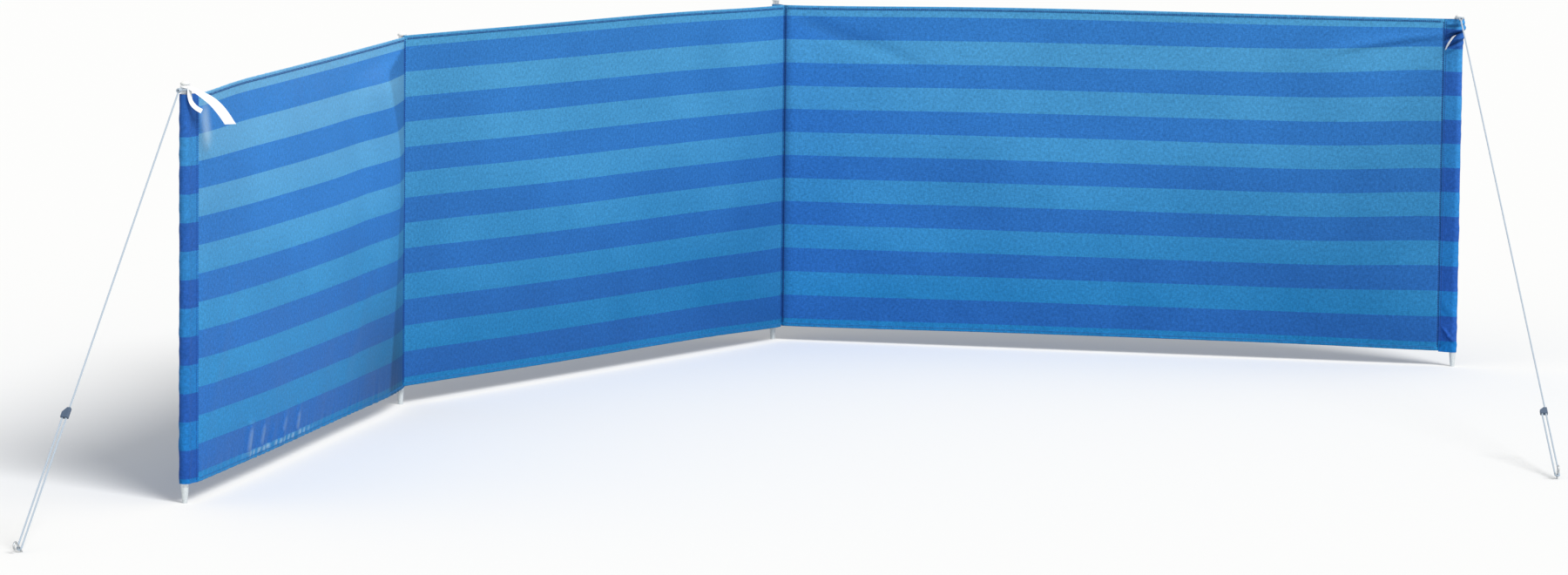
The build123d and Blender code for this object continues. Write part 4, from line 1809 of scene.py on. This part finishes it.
def build_bays(finishes: Finishes, corner_drop: float, drop_reach: tuple[float, float]) -> None:
    """Builds the three bays.

    Args:
        finishes: The materials.
        corner_drop: How far the cloth is drawn at the corner pole, upwards.
        drop_reach: How far along and down the cloth that pull reaches.
    """
    length = LAYOUT.bay_length
    BayCloth(
        Bay.LEFT,
        finishes,
        belly=0.040,
        hem_pucker=0.0013,
        folds=(
            Fold((0.335, 0.005), (0.345, 0.09), 0.019, 0.0056),
            Fold((0.425, 0.005), (0.435, 0.08), 0.016, 0.0050),
            Fold((0.500, 0.004), (0.520, 0.06), 0.012, 0.0030),
            Fold((0.580, 0.004), (0.600, 0.08), 0.016, 0.0048),
            Fold((0.695, 0.004), (0.700, 0.08), 0.016, 0.0048),
            Fold((0.05, 0.10), (0.22, 0.45), 0.030, 0.0030),
            Fold((1.05, 0.10), (1.25, 0.34), 0.040, 0.0040),
        ),
        crest=Crest(gap=0.225, reach=0.34, height=0.019, top=0.785),
        pulls=(Spot((0.0, 0.80), (0.20, 0.14), -0.008),),
        # Painted light: the bay is painted lighter all over, with painted shade at its lower right, painted
        # highlights on folds and puckers, and a painted sheen towards its top
        painted_bay_shade=-0.08,
        painted_shade_spots=(Spot((1.48, 0.04), (0.36, 0.20), 0.42),),
        gleams=(
            Fold((0.335, 0.014), (0.345, 0.080), 0.018, 0.34),
            Fold((0.425, 0.020), (0.435, 0.075), 0.015, 0.30),
            Fold((0.580, 0.030), (0.600, 0.070), 0.014, 0.26),
            Fold((0.695, 0.020), (0.700, 0.070), 0.014, 0.32),
            Fold((0.035, 0.775), (0.055, 0.68), 0.026, 0.40),
        ),
        beads=Beads(start=0.32, end=0.80, pitch=0.038, level=0.013, reach=0.006, height=0.0024, gleam=0.55),
        painted_sheen=0.10,
        columns=210,
        rows=84,
    ).build()
    BayCloth(
        Bay.MIDDLE,
        finishes,
        belly=0.006,
        hem_pucker=0.0005,
        pulls=(
            Spot((0.0, 0.35), (0.45, 0.42), 0.009),
            Spot((length, 0.78), drop_reach, corner_drop),
            Spot((length, 0.0), (0.25, 0.18), -0.006),
        ),
        # Painted shade: darker all over, towards the bottom and beside the corner
        painted_bay_shade=0.10,
        painted_shade_spots=(Spot((0.80, 0.0), (1.20, 0.25), 0.08), Spot((length, 0.05), (0.32, 0.32), 0.12)),
    ).build()
    BayCloth(
        Bay.RIGHT,
        finishes,
        belly=0.006,
        hem_pucker=0.0005,
        folds=(
            Fold((0.02, 0.780), (0.37, 0.645), 0.018, -0.0046, 1.5),
            Fold((length - 0.28, 0.712), (length + 0.05, 0.763), 0.009, 0.0055, 1.3),
        ),
        pulls=(
            Spot((0.0, 0.78), drop_reach, corner_drop),
            Spot((0.05, 0.0), (0.40, 0.18), -0.004),
            Spot((length, 0.69), (0.28, 0.075), 0.013),
            Spot((length, 0.38), (0.20, 0.36), 0.013),
            Spot((length, 0.80), (0.25, 0.06), -0.0048),
            Spot((length, 0.0), (0.22, 0.12), -0.008),
        ),
        # Painted shade at the right end, a painted lighter patch by the corner, and painted shade along the
        # pleat, beside the corner seam and along the fold by the corner
        painted_shade_spots=(Spot((length, 0.10), (0.55, 0.55), 0.14), Spot((0.08, 0.50), (0.22, 0.70), -0.08)),
        painted_crease_shade=(
            Fold((length - 0.26, 0.703), (length + 0.05, 0.750), 0.005, 0.22),
            Fold((0.0, 1.10), (0.0, -0.30), 0.015, 0.36),
            Fold((0.03, 0.768), (0.24, 0.692), 0.011, 0.20),
        ),
    ).build()


def build_sleeves(finishes: Finishes, corner_drop: float, drop_reach: tuple[float, float]) -> None:
    """Builds the four sleeves.

    Args:
        finishes: The materials.
        corner_drop: How far the cloth is drawn at the corner pole, upwards.
        drop_reach: How far along and down the cloth that pull reaches.
    """
    SleeveCloth(
        Post.LEFT_END,
        finishes,
        wrinkle=0.0006,
        slack=0.0022,
        stripe_rise=(-0.010, -0.010),
        # Painted shade over the whole sleeve
        shade=0.15,
        woven_top=0.768,
        lowered=0.007,
    ).build()
    SleeveCloth(Post.LEFT_INNER, finishes, wrinkle=0.0005, tuck=0.0024, lowered=0.008).build()
    corner_pull = Spot((0.0, 0.78), drop_reach, corner_drop)
    SleeveCloth(Post.CORNER, finishes, wrinkle=0.0005, tuck=0.0024, pulls=(corner_pull,)).build()
    SleeveCloth(
        Post.RIGHT_END,
        finishes,
        wrinkle=0.0006,
        flare=0.003,
        folds=(
            Fold((0.002, 0.786), (0.056, 0.792), 0.0030, 0.0030),
            Fold((-0.004, 0.757), (0.060, 0.785), 0.0034, 0.0072),
            Fold((0.004, 0.770), (0.060, 0.777), 0.0026, 0.0040),
            Fold((-0.004, 0.738), (0.060, 0.762), 0.0034, 0.0062),
            Fold((0.006, 0.720), (0.054, 0.746), 0.0040, 0.0036),
            Fold((0.000, 0.012), (0.042, 0.052), 0.0040, 0.0036),
            Fold((0.008, 0.060), (0.052, 0.014), 0.0040, 0.0030),
            Fold((0.004, 0.120), (0.050, 0.080), 0.0055, 0.0022),
        ),
        stripe_rise=(0.006, 0.015),
        shade=0.0,
        # Painted shade where the sleeve is bunched at its top, and along its crease lines
        painted_shade_spots=(Spot((0.03, 0.757), (0.06, 0.035), 0.22),),
        painted_crease_shade=(
            Fold((-0.006, 0.746), (0.050, 0.774), 0.0026, 0.55),
            Fold((-0.006, 0.727), (0.050, 0.752), 0.0026, 0.50),
            Fold((0.004, 0.763), (0.050, 0.770), 0.0022, 0.40),
            Fold((0.002, 0.781), (0.050, 0.785), 0.0022, 0.35),
            Fold((0.0005, 0.90), (0.0005, -0.30), 0.0028, 0.25),
        ),
        pulls=(Spot((0.0, 0.0), (0.20, 0.20), -0.006),),
        slope_steps=22,
    ).build()


def main() -> None:
    """Builds the windbreak piece by piece, then the studio."""
    logging.basicConfig(level=logging.INFO, format="%(name)s %(message)s")
    finishes = Finishes()
    # The corner pole stands a little low, so the cloth beside it is drawn down
    corner_drop, drop_reach = -0.009, (0.40, 0.45)
    build_bays(finishes, corner_drop, drop_reach)
    build_sleeves(finishes, corner_drop, drop_reach)
    PoleSet(finishes).build()
    GuyLine("left", Post.LEFT_END, finishes, reach=0.756, bearing=264.7, runner_distance=0.304).build()
    GuyLine("right", Post.RIGHT_END, finishes, reach=2.034, bearing=284.9, runner_distance=0.260).build()
    TieTape(Post.LEFT_END, finishes, facing=284.0, level=LAYOUT.cloth_top + 0.0076).build()
    SewnTape(Post.RIGHT_END, finishes, facing=270.0, level=LAYOUT.cloth_top - 0.033).build()
    Studio(finishes).build()


if __name__ == "__main__":
    main()
